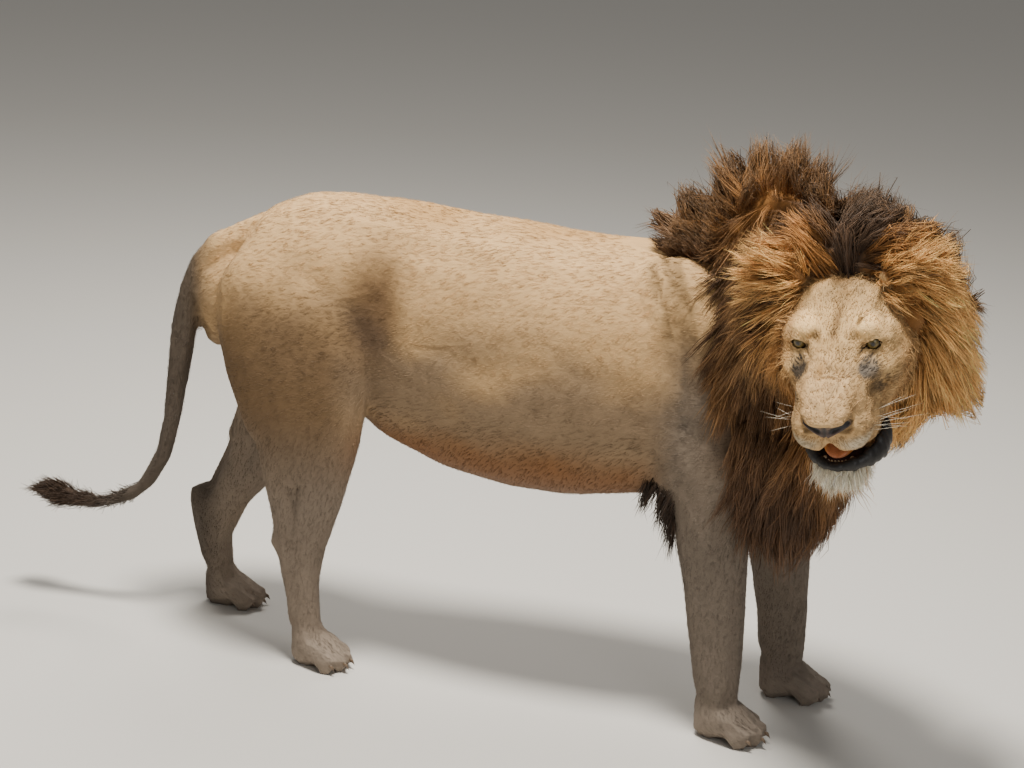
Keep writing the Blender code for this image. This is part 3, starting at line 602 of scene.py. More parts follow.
# Forms of the face, on both sides: place, radii, height.
FACE_FORMS = (
    ((0.0, 0.062, 0.034), (0.05, 0.044, 0.02), 0.012),  # brow over the eye
    ((0.005, 0.04, 0.018), (0.035, 0.016, 0.018), -0.006),  # frown beside the bridge
    ((0.03, 0.056, -0.01), (0.034, 0.014, 0.018), -0.009),  # inner corner of the eye
    ((0.034, 0.074, -0.028), (0.034, 0.026, 0.013), -0.006),  # under the pouch
    ((0.026, 0.072, -0.018), (0.022, 0.02, 0.01), 0.003),  # pouch
    ((0.01, 0.098, -0.045), (0.06, 0.035, 0.03), 0.006),  # cheekbone
    ((0.06, 0.078, -0.07), (0.045, 0.032, 0.034), -0.01),  # flat of the cheek
    ((0.118, 0.048, -0.118), (0.05, 0.04, 0.036), 0.007),  # whisker pad
    ((0.138, 0.026, -0.146), (0.03, 0.022, 0.024), 0.005),  # lobe of the upper lip
    ((0.08, 0.078, -0.112), (0.03, 0.024, 0.024), -0.004),  # behind the pad
    ((0.15, 0.034, -0.07), (0.03, 0.022, 0.018), 0.004),  # wing of the nose
    ((0.11, 0.04, -0.05), (0.045, 0.02, 0.03), 0.004),  # side of the bridge's end
    ((0.085, 0.03, -0.02), (0.03, 0.026, 0.02), -0.005),  # dip of the bridge
    ((-0.05, 0.05, 0.06), (0.05, 0.04, 0.03), 0.003),  # forehead
    ((-0.13, 0.052, 0.075), (0.088, 0.092, 0.08), 0.019),  # top of the forehead
)
# Creases and furrows of the face: corners, half width, depth.
FACE_CREASES = (
    (((0.0, 0.0, 0.028), (-0.045, 0.001, 0.06), (-0.1, 0.0, 0.09)), 0.01, 0.004),
    (((0.098, -0.024, -0.022), (0.094, 0.0, -0.018), (0.097, 0.022, -0.021)), 0.0028, 0.0052),
    (((0.126, -0.026, -0.033), (0.122, -0.006, -0.028)), 0.0022, 0.0024),
    (((0.074, 0.014, -0.009), (0.098, 0.028, -0.021), (0.126, 0.047, -0.041)), 0.0022, 0.0034),
    (((0.118, 0.004, -0.026), (0.138, 0.02, -0.037)), 0.002, 0.0024),
    (((0.1, 0.046, -0.034), (0.138, 0.052, -0.066)), 0.0024, 0.003),
    (((0.06, -0.02, -0.004), (0.064, 0.004, -0.004)), 0.0022, 0.0024),
    (((0.044, 0.03, 0.0), (0.062, 0.044, -0.012)), 0.0022, 0.0028),
    (((0.13, -0.052, -0.075), (0.146, -0.053, -0.094)), 0.0032, 0.0036),
    (((0.13, 0.054, -0.07), (0.144, 0.054, -0.09)), 0.0032, 0.0036),
    (((0.16, 0.0, -0.112), (0.158, 0.0, -0.124), (0.15, 0.0, -0.15)), 0.0034, 0.008),  # philtrum
)


# The creases that get painted shade along them.
SHADED_CREASES = slice(1, 8)
WHISKER_SPACING = 0.0125


def whisker_rows(h):
    """Waves from -1 to 1 over the whisker pad, one for each row of whiskers."""
    return np.sin((h[:, 2] + 0.3 * h[:, 0]) * 2 * math.pi / WHISKER_SPACING)


def sculpt_face(h, n):
    """Moves the face's points along their normals, then lets the upper lips hang."""
    x, y, z = h.T
    move = 0.0008 * waves(h, 0.012, 5) * rise(x, -0.02, 0.06) + 0.001 * waves(h, 0.03, 15)
    for side in SIDES:
        for place, radii, height in FACE_FORMS:
            move += height * spot(h, mirrored(place, side), radii)
        pad = spot(h, (0.112, side * 0.055, -0.118), (0.055, 0.04, 0.04))
        move += 0.0007 * whisker_rows(h) * pad
    for corners, width, depth in FACE_CREASES:
        move -= depth * stroke(h, corners, width)
    # The end of the nose overhangs the bare pad.
    tip = rise(x, 0.116, 0.146) * fade(np.abs(y), 0.046, 0.058)
    move += 0.0035 * tip * rise(z, -0.086, -0.078) * fade(z, -0.07, -0.05)
    move -= 0.01 * tip * fade(z, -0.09, -0.084) * rise(z, -0.114, -0.108)
    h = h + n * move[:, None]
    hang = rise(-z, 0.116, 0.146) * rise(x, 0.02, 0.07) * rise(z, -0.186, -0.172)
    hang = hang * (1.0 - 0.75 * np.exp(-((y / 0.011) ** 2)))
    return h + np.array((0.002, 0.0, -0.014)) * hang[:, None]


def make_skin():
    skin = joined_copy([*FLESH, "nose"], "skin")
    modified(skin, "REMESH", mode="VOXEL", voxel_size=SKIN_VOXEL)
    keep_largest(skin)
    # Each shrinking pass is followed by one that swells, so the limbs keep their girth.
    for factor in [0.6, -0.62] * 5 + [0.5, 0.5]:
        modified(skin, "SMOOTH", factor=factor, iterations=1)
    thin_body(skin, SKIN_FACES)
    modified(skin, "SMOOTH", factor=0.4, iterations=2)
    refine(skin, face_grain)
    front = np.nonzero(in_frame(points_of(skin), HEAD)[:, 0] > -0.1)[0]
    skin.vertex_groups.new(name="face").add(front.tolist(), 1.0, "REPLACE")
    modified(skin, "SMOOTH", factor=0.5, iterations=3, vertex_group="face")
    skin.vertex_groups.clear()
    points, normals = points_of(skin), normals_of(skin)
    h = in_frame(points, HEAD)
    face = rise(h[:, 0], -0.16, -0.06) * fade(norm(h), 0.3, HEAD_REACH)
    on_floor = points[:, 2] < FLOOR_REACH
    depth = mixed(np.full((len(h), 1), COAT_DEPTH), FACE_DEPTH, face)
    points = points - normals * depth
    far = norm(h) > HEAD_REACH
    b = in_frame(points[far], BODY)
    points[far] = in_row(sculpt_body(b, normals[far]), BODY)
    points[on_floor, 2] = SOLE_HEIGHT
    h = in_frame(points, HEAD)
    near = ~far
    n = unit(normals @ np.array(HEAD_TURN)[:3, :3])
    h[near] = sculpt_face(h[near], n[near])
    h[near] = sculpt_eyes(h[near])
    set_points(skin, in_row(h, HEAD))
    skin.data.shade_smooth()
    return skin


# ---- markings, with painted light and shade ----
TAN = np.array((0.545, 0.35, 0.165))
GREY_TAN = np.array((0.265, 0.185, 0.112))
OCHRE = np.array((0.46, 0.25, 0.085))
CREAM = np.array((0.72, 0.48, 0.215))
WHITE = np.array((0.68, 0.62, 0.5))
GINGER = np.array((0.36, 0.165, 0.048))
GOLD = np.array((0.58, 0.345, 0.13))
BROWN = np.array((0.085, 0.045, 0.022))
RUFOUS = np.array((0.16, 0.07, 0.028))
DARK = np.array((0.036, 0.022, 0.014))
BLACK = np.array((0.012, 0.01, 0.01))
LEG_GREY = np.array((0.275, 0.225, 0.18))
UNDER_EYE_SHADE = np.array((0.2, 0.175, 0.15))
NOSE_TAN = np.array((0.6, 0.395, 0.195))
MOUTH = np.array((0.03, 0.014, 0.013))
FACE_MIDDLE = -0.03  # the height of the hairline's centre over the eyes
# The hairline round the face, seen from the front: its angle from the crown to the left, and its reach.
HAIRLINE = np.array((
    (-180, 0.2), (-150, 0.165), (-111, 0.1), (-64, 0.11), (-40, 0.124), (-20, 0.128), (4, 0.127),
    (32, 0.14), (54, 0.147), (84, 0.141), (110, 0.143), (137, 0.16), (160, 0.19), (180, 0.2),
))
# How far out the lower jaw's rim runs, from the hinge to the front.
JAW_RIM = np.array((
    (-0.075, 0.092), (0.0, 0.083), (0.043, 0.071), (0.086, 0.058), (0.112, 0.034), (0.122, 0.0),
))


# Brown smudges on the face: place, radii, strength.
SMUDGES = (
    ((-0.055, -0.05, 0.07), (0.04, 0.016, 0.03), 0.4),
    ((-0.09, -0.07, 0.085), (0.02, 0.02, 0.02), 0.55),
    ((-0.06, 0.07, 0.07), (0.05, 0.02, 0.03), 0.3),
    ((0.0, -0.036, 0.018), (0.026, 0.014, 0.016), 0.55),
    ((0.108, -0.02, -0.04), (0.016, 0.014, 0.012), 0.45),
    ((0.02, 0.1, -0.08), (0.04, 0.022, 0.04), 0.6),
    ((-0.01, 0.112, -0.05), (0.03, 0.024, 0.024), 0.45),
)


def round_face(h):
    """Each point's angle round the middle of the face, in degrees from the crown to the left."""
    return np.degrees(np.arctan2(h[:, 1], h[:, 2] - FACE_MIDDLE))


def beyond_hairline(h):
    """How far each point of the head lies outside the hairline, below 0 on the face."""
    line = np.interp(round_face(h), HAIRLINE[:, 0], HAIRLINE[:, 1])
    reach = np.hypot(h[:, 1], h[:, 2] - FACE_MIDDLE) - line
    return np.maximum(reach, -0.8 * (h[:, 0] + 0.124))


class Tint:
    """The colours of some points, to lay others over."""

    def __init__(self, colours):
        self.colours = colours

    def lay(self, over, share):
        """Lays a colour over these, by a share for each point."""
        self.colours = mixed(self.colours, over, share)

    def darken(self, share):
        """Darkens each point by its share, or each channel of a point by its own."""
        self.colours = self.colours * (1.0 - share.reshape(len(share), -1))


def coat_colour(points):
    """The colour of skin and short coat at each point: the lion's markings, with painted light and shade on the
    body.
    """
    b = in_frame(points, BODY)
    h = in_frame(points, HEAD)
    x, y, z = b.T
    noise = waves(points, 0.09, 1)
    fine = waves(points, 0.025, 2)
    # The coat greyer low on the body and tanner higher up: partly random patches, partly painted shade below
    # and painted light above.
    tint = Tint(mixed(GREY_TAN, TAN, rise(noise + 2.6 * rise(z, 0.66, 1.03), 0.0, 2.4)))
    top = rise(z + 0.02 * noise, 1.05, 1.13) * rise(x, -0.5, -0.1)
    tint.lay(OCHRE, 0.65 * top * fade(x, 0.46, 0.6))
    # Painted light: the upper sides made lighter, as if lit from above.
    tint.lay(TAN * 1.25, 0.8 * rise(z, 0.86, 1.02) * (1.0 - top))
    # The belly's ochre, laid very dark: partly its own colour, partly painted shade under the body.
    belly = fade(z + 0.02 * noise, 0.54, 0.67) * rise(z, 0.44, 0.48)
    belly = belly * rise(x, -0.3, -0.16) * fade(x, 0.4, 0.54)
    tint.lay(OCHRE * (0.44, 0.29, 0.14), 0.95 * belly)
    # Painted shade: the lower haunch and thigh darker and greyer.
    haunch_shade = fade(x, -0.3, -0.2) * fade(z + 0.02 * noise, 0.8, 0.98) * rise(x, -0.62, -0.54)
    tint.lay(GREY_TAN * (0.52, 0.45, 0.36), 0.84 * haunch_shade)
    # Painted shade in the hollow of the flank, in front of the thigh.
    flank = spot(b * (1.0, 0.0, 1.0), (-0.2, 0.0, 0.88), (0.125, 1.0, 0.27))
    tint.darken(np.outer(rise(flank, 0.0, 1.0), (0.68, 0.7, 0.68)))
    # Painted shade along the grooves of the first folds.
    fold = sum(side_stroke(b, side, corners, 0.011) for side, corners, _, _ in BODY_FOLDS[:SHADED_FOLDS])
    tint.darken(0.52 * np.clip(fold, 0.0, 1.0))
    hock = spot(b, (-0.6, 0.0, 0.4), (0.16, 0.4, 0.3)) * rise(-fine, -0.6, 0.6)
    tint.darken(0.35 * hock)
    # The legs greyer and darker: partly their own colour, partly painted shade low on the body.
    legs = fade(z, 0.4, 0.66)
    tint.lay(LEG_GREY * 0.8, 0.8 * legs)
    # Painted shadow of the mane and head on the shoulder and forelegs.
    fore = rise(x, 0.44, 0.54) * fade(z, 0.78, 1.0)
    tint.lay(LEG_GREY * 0.5, 0.8 * fore)
    tint.lay(LEG_GREY * 1.1, 0.5 * fade(z, 0.04, 0.11))
    tint.lay((0.088, 0.07, 0.055), rise(-x, 0.615, 0.7) * 0.95)
    tint.lay(DARK * 1.5, 0.8 * rise(-x, 0.9, 0.98))
    behind_face = h[:, 0] < -0.07
    mane = rise(x, 0.56, 0.72) * rise(z, 0.55, 0.75)
    tint.lay(BROWN * 1.6, 0.8 * mane * behind_face)
    chest = rise(x, 0.6, 0.7) * rise(z, 0.42, 0.6) * fade(np.abs(y + 0.05), 0.1, 0.2)
    tint.lay(DARK * 1.6, 0.8 * chest * behind_face)
    near = fade(norm(h), 0.3, HEAD_REACH)
    return mixed(tint.colours, face_colour(tint.colours, h, noise, fine), near)


def face_colour(colour, h, noise, fine):
    """The markings of the face, with painted shade and light, over the body's colour."""
    x, y, z = h.T
    tint = Tint(colour)
    across = np.abs(y)
    beyond = beyond_hairline(h)
    face = fade(beyond + 0.004 * fine, -0.004, 0.016)
    hair = mixed(GINGER * 0.55, DARK * 1.5, fade(np.abs(y - 0.01), 0.05, 0.1) * (z > 0.0))
    tint.lay(hair, rise(beyond, -0.006, 0.014))
    ground = mixed(TAN * 0.95, CREAM, rise(z + 0.012 * noise, -0.05, 0.05) * 0.6)
    fleck = rise(waves(h, 0.009, 8), -0.1, 1.0) * rise(waves(h, 0.04, 9), -0.9, 0.5)
    ground = ground * (1.0 - 0.34 * fleck)[:, None]
    tint.lay(ground, face)
    edge = rise(beyond, -0.022, -0.002) * fade(x, 0.0, 0.05)
    tint.lay(mixed(GINGER * 1.2, TAN, 0.4 * (z > 0)), (0.55 - 0.3 * (y > 0)) * edge * face)
    # The upper forehead browner towards the hairline: partly its own colour, partly painted shade below the
    # hairline.
    high = rise(-x, 0.045, 0.095) * face * rise(fine, -1.8, 0.6)
    tint.lay(OCHRE * (0.8, 0.95, 1.3), 0.7 * high)
    bridge = fade(across, 0.034, 0.052) * rise(x, 0.03, 0.09) * rise(z, -0.1, -0.08)
    tint.lay(NOSE_TAN * (1.0 + 0.08 * fine)[:, None], 0.85 * bridge)
    upper = fade(across, 0.022, 0.04) * rise(x, -0.02, 0.02) * fade(x, 0.075, 0.105)
    tint.lay(OCHRE * (1.0, 1.15, 1.4), 0.5 * upper * rise(waves(h, 0.02, 14), -0.8, 0.6))
    tint.lay(OCHRE * 0.72, 0.6 * stroke(h, ((0.07, -0.018, -0.008), (0.088, -0.02, -0.018)), 0.01))
    for place, radii, share in SMUDGES:
        tint.lay(OCHRE * 0.48, 1.25 * share * rise(spot(h, place, radii), 0.0, 0.7) * rise(fine, -1.4, 0.6))
    for side in SIDES:
        on_right = side == RIGHT
        over = spot(h, (-0.015, side * 0.064, 0.038), (0.06, 0.04, 0.034))
        tint.lay(CREAM * 1.18, 0.9 * rise(over, 0.0, 0.6) * face)
        # Painted shade at the inner brow, in the frown beside the bridge under the brow.
        frown = spot(h, (0.004, side * 0.04, 0.018), (0.03, 0.016, 0.014))
        tint.darken(0.5 * frown)
        cheek = spot(h, (0.02, side * 0.105, -0.04), (0.07, 0.04, 0.05))
        tint.lay(CREAM, 0.4 * cheek * face)
        # Painted shade under each eye, far darker on the right.
        under = spot(h, (0.044, side * 0.073, -0.028), (0.054, 0.03, 0.03))
        tint.lay(UNDER_EYE_SHADE * (0.15 if on_right else 0.62), 0.95 * rise(under + 0.1 * fine, 0.0, 0.45))
        # A grey-tan mottled patch on the cheek below each eye, made darker on the right as painted shade.
        place = (0.082, -0.074, -0.064) if on_right else (0.046, 0.092, -0.06)
        below = spot(h, place, (0.056, 0.036, 0.05))
        mottle = rise(fine + 0.7 * waves(h, 0.01, 18), -1.2, 0.5)
        tint.lay(GREY_TAN * (0.25 if on_right else 0.42), 0.85 * rise(below, 0.0, 0.6) * mottle)
        # The pale whisker pad, made lighter on the left as painted light.
        pad = spot(h, (0.118, side * 0.048, -0.14), (0.075, 0.056, 0.034))
        tint.lay(WHITE * (0.68, 0.63, 0.56) * (1.0 if on_right else 1.25), 0.9 * rise(pad, 0.05, 0.6))
        corner = spot(h, (0.04, side * 0.094, -0.185), (0.055, 0.03, 0.05))
        tint.lay(BLACK * 1.5, rise(corner, 0.2, 0.45))
        rows = whisker_rows(h) * spot(h, (0.105, side * 0.058, -0.118), (0.04, 0.03, 0.03))
        tint.darken(0.3 * np.clip(-rows, 0.0, 1.0))
        distance, _, upwards, opening = seen_from_eye(h, side)
        round_eye = (distance < EYE_AREA) * rise(x, -0.03, -0.01)
        tint.lay(BLACK, rise(opening, -6.5, -2.5) * round_eye)
        lash = np.exp(-(((opening + 20.0) / 4.0) ** 2)) * (upwards > 0) * round_eye
        tint.lay(BROWN, 0.6 * lash)
        tear = ((0.012, side * 0.056, 0.002), (0.03, side * 0.054, -0.006), (0.07, side * 0.051, -0.023))
        length = 1.0 if on_right else fade(x, 0.025, 0.045)
        tint.lay(DARK, 0.95 * length * stroke(h, tear, 0.0054 - 0.03 * np.clip(x - 0.03, 0.0, 0.05)))
    # The dark streak that runs from the crown down between the eyes.
    run = ((-0.125, 0.004, 0.099), (-0.1, 0.006, 0.088), (-0.073, 0.007, 0.07), (-0.045, 0.005, 0.051))
    run += ((-0.017, 0.0, 0.035), (0.006, -0.002, 0.022))
    broad = stroke(h, run, 0.02 + 0.02 * rise(-x, 0.06, 0.12))
    tint.lay(OCHRE * 0.6, 0.55 * broad * rise(waves(h, 0.014, 17), -0.8, 0.8) * rise(-x, -0.01, 0.03))
    streak = stroke(h, run, 0.008 + 0.012 * rise(-x, 0.085, 0.125))
    tint.lay(RUFOUS * 0.55, 0.95 * streak * rise(fine + 2.5 * (x < -0.045), -2.6, -0.4))
    tint.lay(OCHRE * 0.4, 0.9 * rise(spot(h, (-0.024, 0.049, 0.038), (0.024, 0.01, 0.02)), 0.0, 0.5))
    # The dark skin round the nose pad: partly its own colour, partly painted shade under the overhanging end of
    # the nose.
    nostrils = spot(h, NOSE_END, (0.03, 0.052, 0.017))
    tint.lay(DARK, rise(nostrils, 0.0, 0.3))
    tint.lay(DARK, 0.9 * stroke(h, ((0.16, 0.0, -0.112), (0.155, 0.0, -0.14)), 0.0028))
    # Painted shade in the creases, darker the deeper they are.
    for corners, width, depth in FACE_CREASES[SHADED_CREASES]:
        tint.lay(BROWN * 1.6, 170.0 * depth * stroke(h, corners, width * 0.9))
    chin = rise(-z, 0.212, 0.226) * rise(x + 0.6 * np.clip(y, 0.0, 0.09), 0.02, 0.05)
    tint.lay(WHITE, 0.9 * chin)
    tint.lay(MOUTH, mouth_lining(h))
    return tint.colours


def mouth_lining(h):
    """1 inside the mouth and along the lips' edges."""
    x, y, z = h.T
    half = np.interp(x, JAW_RIM[:, 0], JAW_RIM[:, 1])
    floor = -0.176 - 0.48 * x
    inside = rise(-z, 0.161, 0.165) * rise(z - floor, -0.012, -0.006) * fade(x, 0.118, 0.128)
    return inside * fade(np.abs(y) - half, -0.004, 0.004) * rise(x, -0.07, -0.04)


# ---- locks and tufts ----
PATCH = 0.0015  # half the size of a tuft's patch on the skin's unwrap
SHAPE = {  # how thick a lock is at each of its points between root and tip, by the number of its points
    3: (1.0,),
    5: (0.9, 1.0, 0.65),
}


def hair_mesh(name, paths, widths, outwards, roots, tips, places, flatness=0.55):
    """One mesh of closed, three-sided, tapered locks.

    paths holds each lock's points from root to tip, widths the half width at its thickest, outwards the way
    its flat side faces, roots and tips its colours, and places its root's place on the skin's unwrap.
    """
    count, rows = paths.shape[:2]
    tangents = unit(np.gradient(paths, axis=1))
    side = unit(np.cross(tangents, outwards[:, None, :]))
    up = np.cross(side, tangents)
    vertices, shades, patches = [paths[:, 0]], [roots], [places - (PATCH, 0.0)]
    for k, share in enumerate(SHAPE[rows], start=1):
        along = k / (rows - 1)
        shade = mixed(roots, tips, np.full(count, along**0.8))
        for corner, degrees in enumerate((90.0, 210.0, 330.0)):
            angle = math.radians(degrees)
            ring = math.cos(angle) * side[:, k] + flatness * math.sin(angle) * up[:, k]
            vertices.append(paths[:, k] + (widths * share)[:, None] * ring)
            shades.append(shade)
            patches.append(places + (PATCH * (2 * along - 1), PATCH * 0.8 * (corner - 1)))
    vertices.append(paths[:, -1])
    shades.append(tips)
    patches.append(places + (PATCH, 0.0))
    per_lock = len(vertices)
    faces = []
    for corner in range(3):
        after = (corner + 1) % 3
        faces.append((0, 1 + after, 1 + corner))
        for k in range(rows - 3):
            low, high = 1 + 3 * k, 4 + 3 * k
            faces.append((low + corner, low + after, high + after))
            faces.append((low + corner, high + after, high + corner))
        last = per_lock - 4
        faces.append((last + corner, last + after, per_lock - 1))
    starts = np.arange(count) * per_lock
    corners = (starts[:, None, None] + np.array(faces)[None]).reshape(-1, 3)
    points = np.stack(vertices, axis=1).reshape(-1, 3)
    a, b, c = (points[corners[:, k]] for k in range(3))
    if dots(a, np.cross(b, c)).sum() < 0:
        corners = corners[:, ::-1]
    mesh = bpy.data.meshes.new(name)
    mesh.vertices.add(len(points))
    mesh.vertices.foreach_set("co", points.astype(np.float32).ravel())
    mesh.loops.add(corners.size)
    mesh.loops.foreach_set("vertex_index", corners.astype(np.int32).ravel())
    mesh.polygons.add(len(corners))
    mesh.polygons.foreach_set("loop_start", np.arange(0, corners.size, 3, dtype=np.int32))
    mesh.update(calc_edges=True)
    unwrap = np.stack(patches, axis=1).reshape(-1, 2)[corners.ravel()]
    mesh.uv_layers.new(name="OFBake").data.foreach_set("uv", unwrap.astype(np.float32).ravel())
    mesh.shade_smooth()
    piece = new_object(name, mesh)
    paint(piece, np.stack(shades, axis=1).reshape(-1, 3))
    return piece


def lie_of_coat(points, normals):
    """Which way the short coat lies: back from the nose, down the legs and along the tail."""
    b, h = both_frames(points)
    way = alike((-1.0, 0.0, -0.3), points)
    way = mixed(way, (-0.15, 0.0, -1.0), fade(b[:, 2], 0.46, 0.74))
    tail = rise(-b[:, 0], 0.62, 0.7)
    along_tail = mixed((-0.12, 0.0, -1.0), (-1.0, 0.0, -0.2), fade(b[:, 2], 0.33, 0.46))
    way = mixed(way, along_tail, tail * (b[:, 2] > 0.22) * (np.abs(b[:, 1]) < 0.075))
    way = mixed(way, (0.9, 0.0, -0.5), fade(b[:, 2], 0.04, 0.11))
    from_nose = turned(unit(h - (0.19, 0.0, -0.085)), HEAD_TURN)
    way = mixed(way, from_nose, fade(norm(h - (-0.02, 0.0, -0.05)), 0.22, 0.32))
    way = unit(way) + 0.1 * np.column_stack([waves(points, 0.1, seed) for seed in (11, 12, 13)])
    way -= normals * dots(way, normals)[:, None]
    return unit(way)


def strewn(directions, amount, rng):
    """Directions, each thrown off by a random amount."""
    return unit(directions + rng.normal(size=directions.shape) * amount)


def make_short_coat(name, coat, count, weights, length, width, contrast, seed):
    """Short tufts lying flat along the skin, coloured as the skin beneath them."""
    rng = np.random.default_rng(seed)
    points, normals, places = coat.skin.scatter(count, weights, rng)
    way = strewn(lie_of_coat(points, normals), 0.1, rng)
    lengths = length * rng.uniform(0.7, 1.25, count)[:, None]
    tips, tip_normals, _ = nearest(coat.skin_tree, points + way * lengths)
    tips = tips + tip_normals * lengths * rng.uniform(0.03, 0.09, (count, 1))
    belly = points + (tips - points) * 0.45 + normals * lengths * rng.uniform(0.05, 0.09, (count, 1))
    paths = np.stack([points - normals * 0.0012, belly, tips], axis=1)
    shade = coat_colour(points)
    roots = shade * rng.uniform(1.0 - contrast, 1.0, (count, 1))
    tips = shade * rng.uniform(1.0 - 0.4 * contrast, 1.0 + 0.7 * contrast, (count, 1))
    return hair_mesh(name, paths, np.full(count, width), normals, roots, tips, places, 0.4)


# ---- the mane ----
MANE = ("mane_face", "mane_crest", "mane_neck", "mane_breast")
UNDER_STEPS, UNDER_STEP = 3, 0.011  # the dense inner hair lies this far inside the mane's solids
UNDER_VOXEL = 0.012
UNDER_SINK = 0.012  # how deep the dense inner hair sinks below bare skin
GUIDE_POINTS = 5
NAPE = np.array(((0.36, 0.0), (0.6, -0.005), (0.72, -0.03), (0.81, -0.085), (0.86, -0.165), (0.875, -0.25)))


def bare_neck(b):
    """1 on the side of the neck and the shoulder behind the mane, where the short coat shows."""
    line = 0.6 + 0.24 * (1.06 - b[:, 2])
    side = fade(b[:, 0], line - 0.01, line + 0.02)
    high = 0.1 * rise(-b[:, 1], 0.055, 0.09) * fade(b[:, 0], 0.555, 0.6)
    return side * fade(b[:, 2] - high, 1.045, 1.075)


def make_under_mane(skin_tree):
    """The dense dark inner hair, a soft solid that the locks cover. It sinks into the bare neck."""
    nodes = (*MANE, "head", "neck", "trunk", "ear_left", "ear_right")
    under = joined_copy(nodes, "mane_under_layer")
    for _ in range(UNDER_STEPS):
        modified(under, "REMESH", mode="VOXEL", voxel_size=UNDER_VOXEL)
        modified(under, "SMOOTH", factor=0.5, iterations=2)
        modified(under, "DISPLACE", strength=-UNDER_STEP, mid_level=0.0)
    modified(under, "REMESH", mode="VOXEL", voxel_size=UNDER_VOXEL)
    modified(under, "SMOOTH", factor=0.5, iterations=3)
    bm = bmesh.new()
    bm.from_mesh(under.data)
    parts = {"geom": bm.verts[:] + bm.edges[:] + bm.faces[:]}
    cut = bmesh.ops.bisect_plane(
        bm, **parts, plane_co=BODY @ Vector((0.34, 0, 0)), plane_no=(-1, 0, 0), clear_outer=True
    )
    bmesh.ops.holes_fill(bm, edges=[g for g in cut["geom_cut"] if isinstance(g, bmesh.types.BMEdge)])
    bm.to_mesh(under.data)
    bm.free()
    keep_largest(under)
    points = points_of(under)
    place, normal, above = nearest(skin_tree, points)
    bare = np.maximum(bare_neck(in_frame(points, BODY)), bare_face(in_frame(points, HEAD)))
    sink = bare * (above > -UNDER_SINK)
    set_points(under, mixed(points, place - normal * UNDER_SINK, sink))
    under.data.shade_smooth()
    return under


def nape_offset(b):
    """How far a body point lies to the side of the line of the nape."""
    return b[:, 1] - np.interp(b[:, 0], NAPE[:, 0], NAPE[:, 1])


def parted(h):
    """The way of the hair round the face: from a parting at the crown out to both sides, then down."""
    around = round_face(h)
    side = np.tanh((h[:, 1] - 0.008) / 0.02)
    angles, falls = (0, 15, 35, 65, 95, 125, 150, 180), (20, 60, 96, 132, 163, 172, 176, 179)
    fall = np.radians(np.interp(np.abs(around), angles, falls))
    back = np.interp(np.abs(around), (0, 60, 120, 180), (-0.55, -0.32, -0.22, -0.2))
    return turned(unit(np.column_stack([back, side * np.sin(fall), np.cos(fall)])), HEAD_TURN)


def beside_crest(b):
    """1 on the right of the crest, where the mane leaves the neck bare below it."""
    return rise(-b[:, 1], 0.03, 0.06) * fade(b[:, 0], 0.56, 0.62) * rise(b[:, 2], 1.02, 1.05)


def mane_way(points, normals):
    """Which way the mane's hair wants to go from each root, and how far it stands off at first."""
    b, h = both_frames(points)
    ruff = parted(h)
    way = alike((-0.22, 0.0, -0.97), points)
    way = mixed(way, (-0.05, 0.0, -1.0), fade(b[:, 2], 0.78, 0.95))
    way = mixed(way, ruff, rise(h[:, 0], -0.27, -0.15) * (h[:, 2] > -0.26))
    lift = np.full(len(b), 0.5)
    crest = fade(np.abs(nape_offset(b)), 0.05, 0.12) * rise(normals[:, 2], 0.2, 0.6)
    crest = crest * (b[:, 2] > 1.0) * fade(h[:, 0], -0.22, -0.14)
    lean = np.interp(b[:, 0], (0.36, 0.56, 0.66, 0.85), (-2.0, -0.7, 0.0, 0.3))
    raised = np.column_stack([lean, nape_offset(b) * 3.0, np.ones(len(b))])
    crest = np.maximum(crest, beside_crest(b))
    way = mixed(way, unit(raised), crest)
    lift = lift + 0.5 * crest
    bends = np.column_stack([waves(points, 0.11, seed) for seed in (21, 22, 23)])
    return unit(unit(way) + 0.22 * bends * (1.0 - 0.5 * crest)[:, None]), lift


def grow_guides(points, normals, lengths, limits, rng):
    """The middle line of each lock, grown step by step, clear of the skin and inside the mane's solids."""
    skin_tree, mane_tree = limits
    way, lift = mane_way(points, normals)
    way = strewn(way, 0.16, rng)
    lift = lift * rng.uniform(0.4, 1.3, len(lift))
    heading = unit(way * 0.7 + normals * lift[:, None])
    path = [points]
    for _ in range(GUIDE_POINTS - 1):
        heading = unit(heading + way * 0.45 + (0.0, 0.0, -0.07))
        here = path[-1] + heading * (lengths / (GUIDE_POINTS - 1))[:, None]
        place, normal, above = nearest(skin_tree, here)
        near = norm(here - place)
        here = np.where(((above < 0.006) & (near < 0.12))[:, None], place + normal * 0.008, here)
        place, normal, outside = nearest(mane_tree, here)
        h = in_frame(here, HEAD)
        slack = 0.006 + 0.018 * len(path) / GUIDE_POINTS * (h[:, 0] > -0.24)
        slack = slack + 0.035 * rise(h[:, 1], 0.03, 0.07) * rise(-h[:, 2], 0.12, 0.18)
        far = (outside > slack) & (near > 0.025)
        here = np.where(far[:, None], place + normal * slack[:, None], here)
        heading = unit(here - path[-1])
        path.append(here)
    return np.stack(path, axis=1)


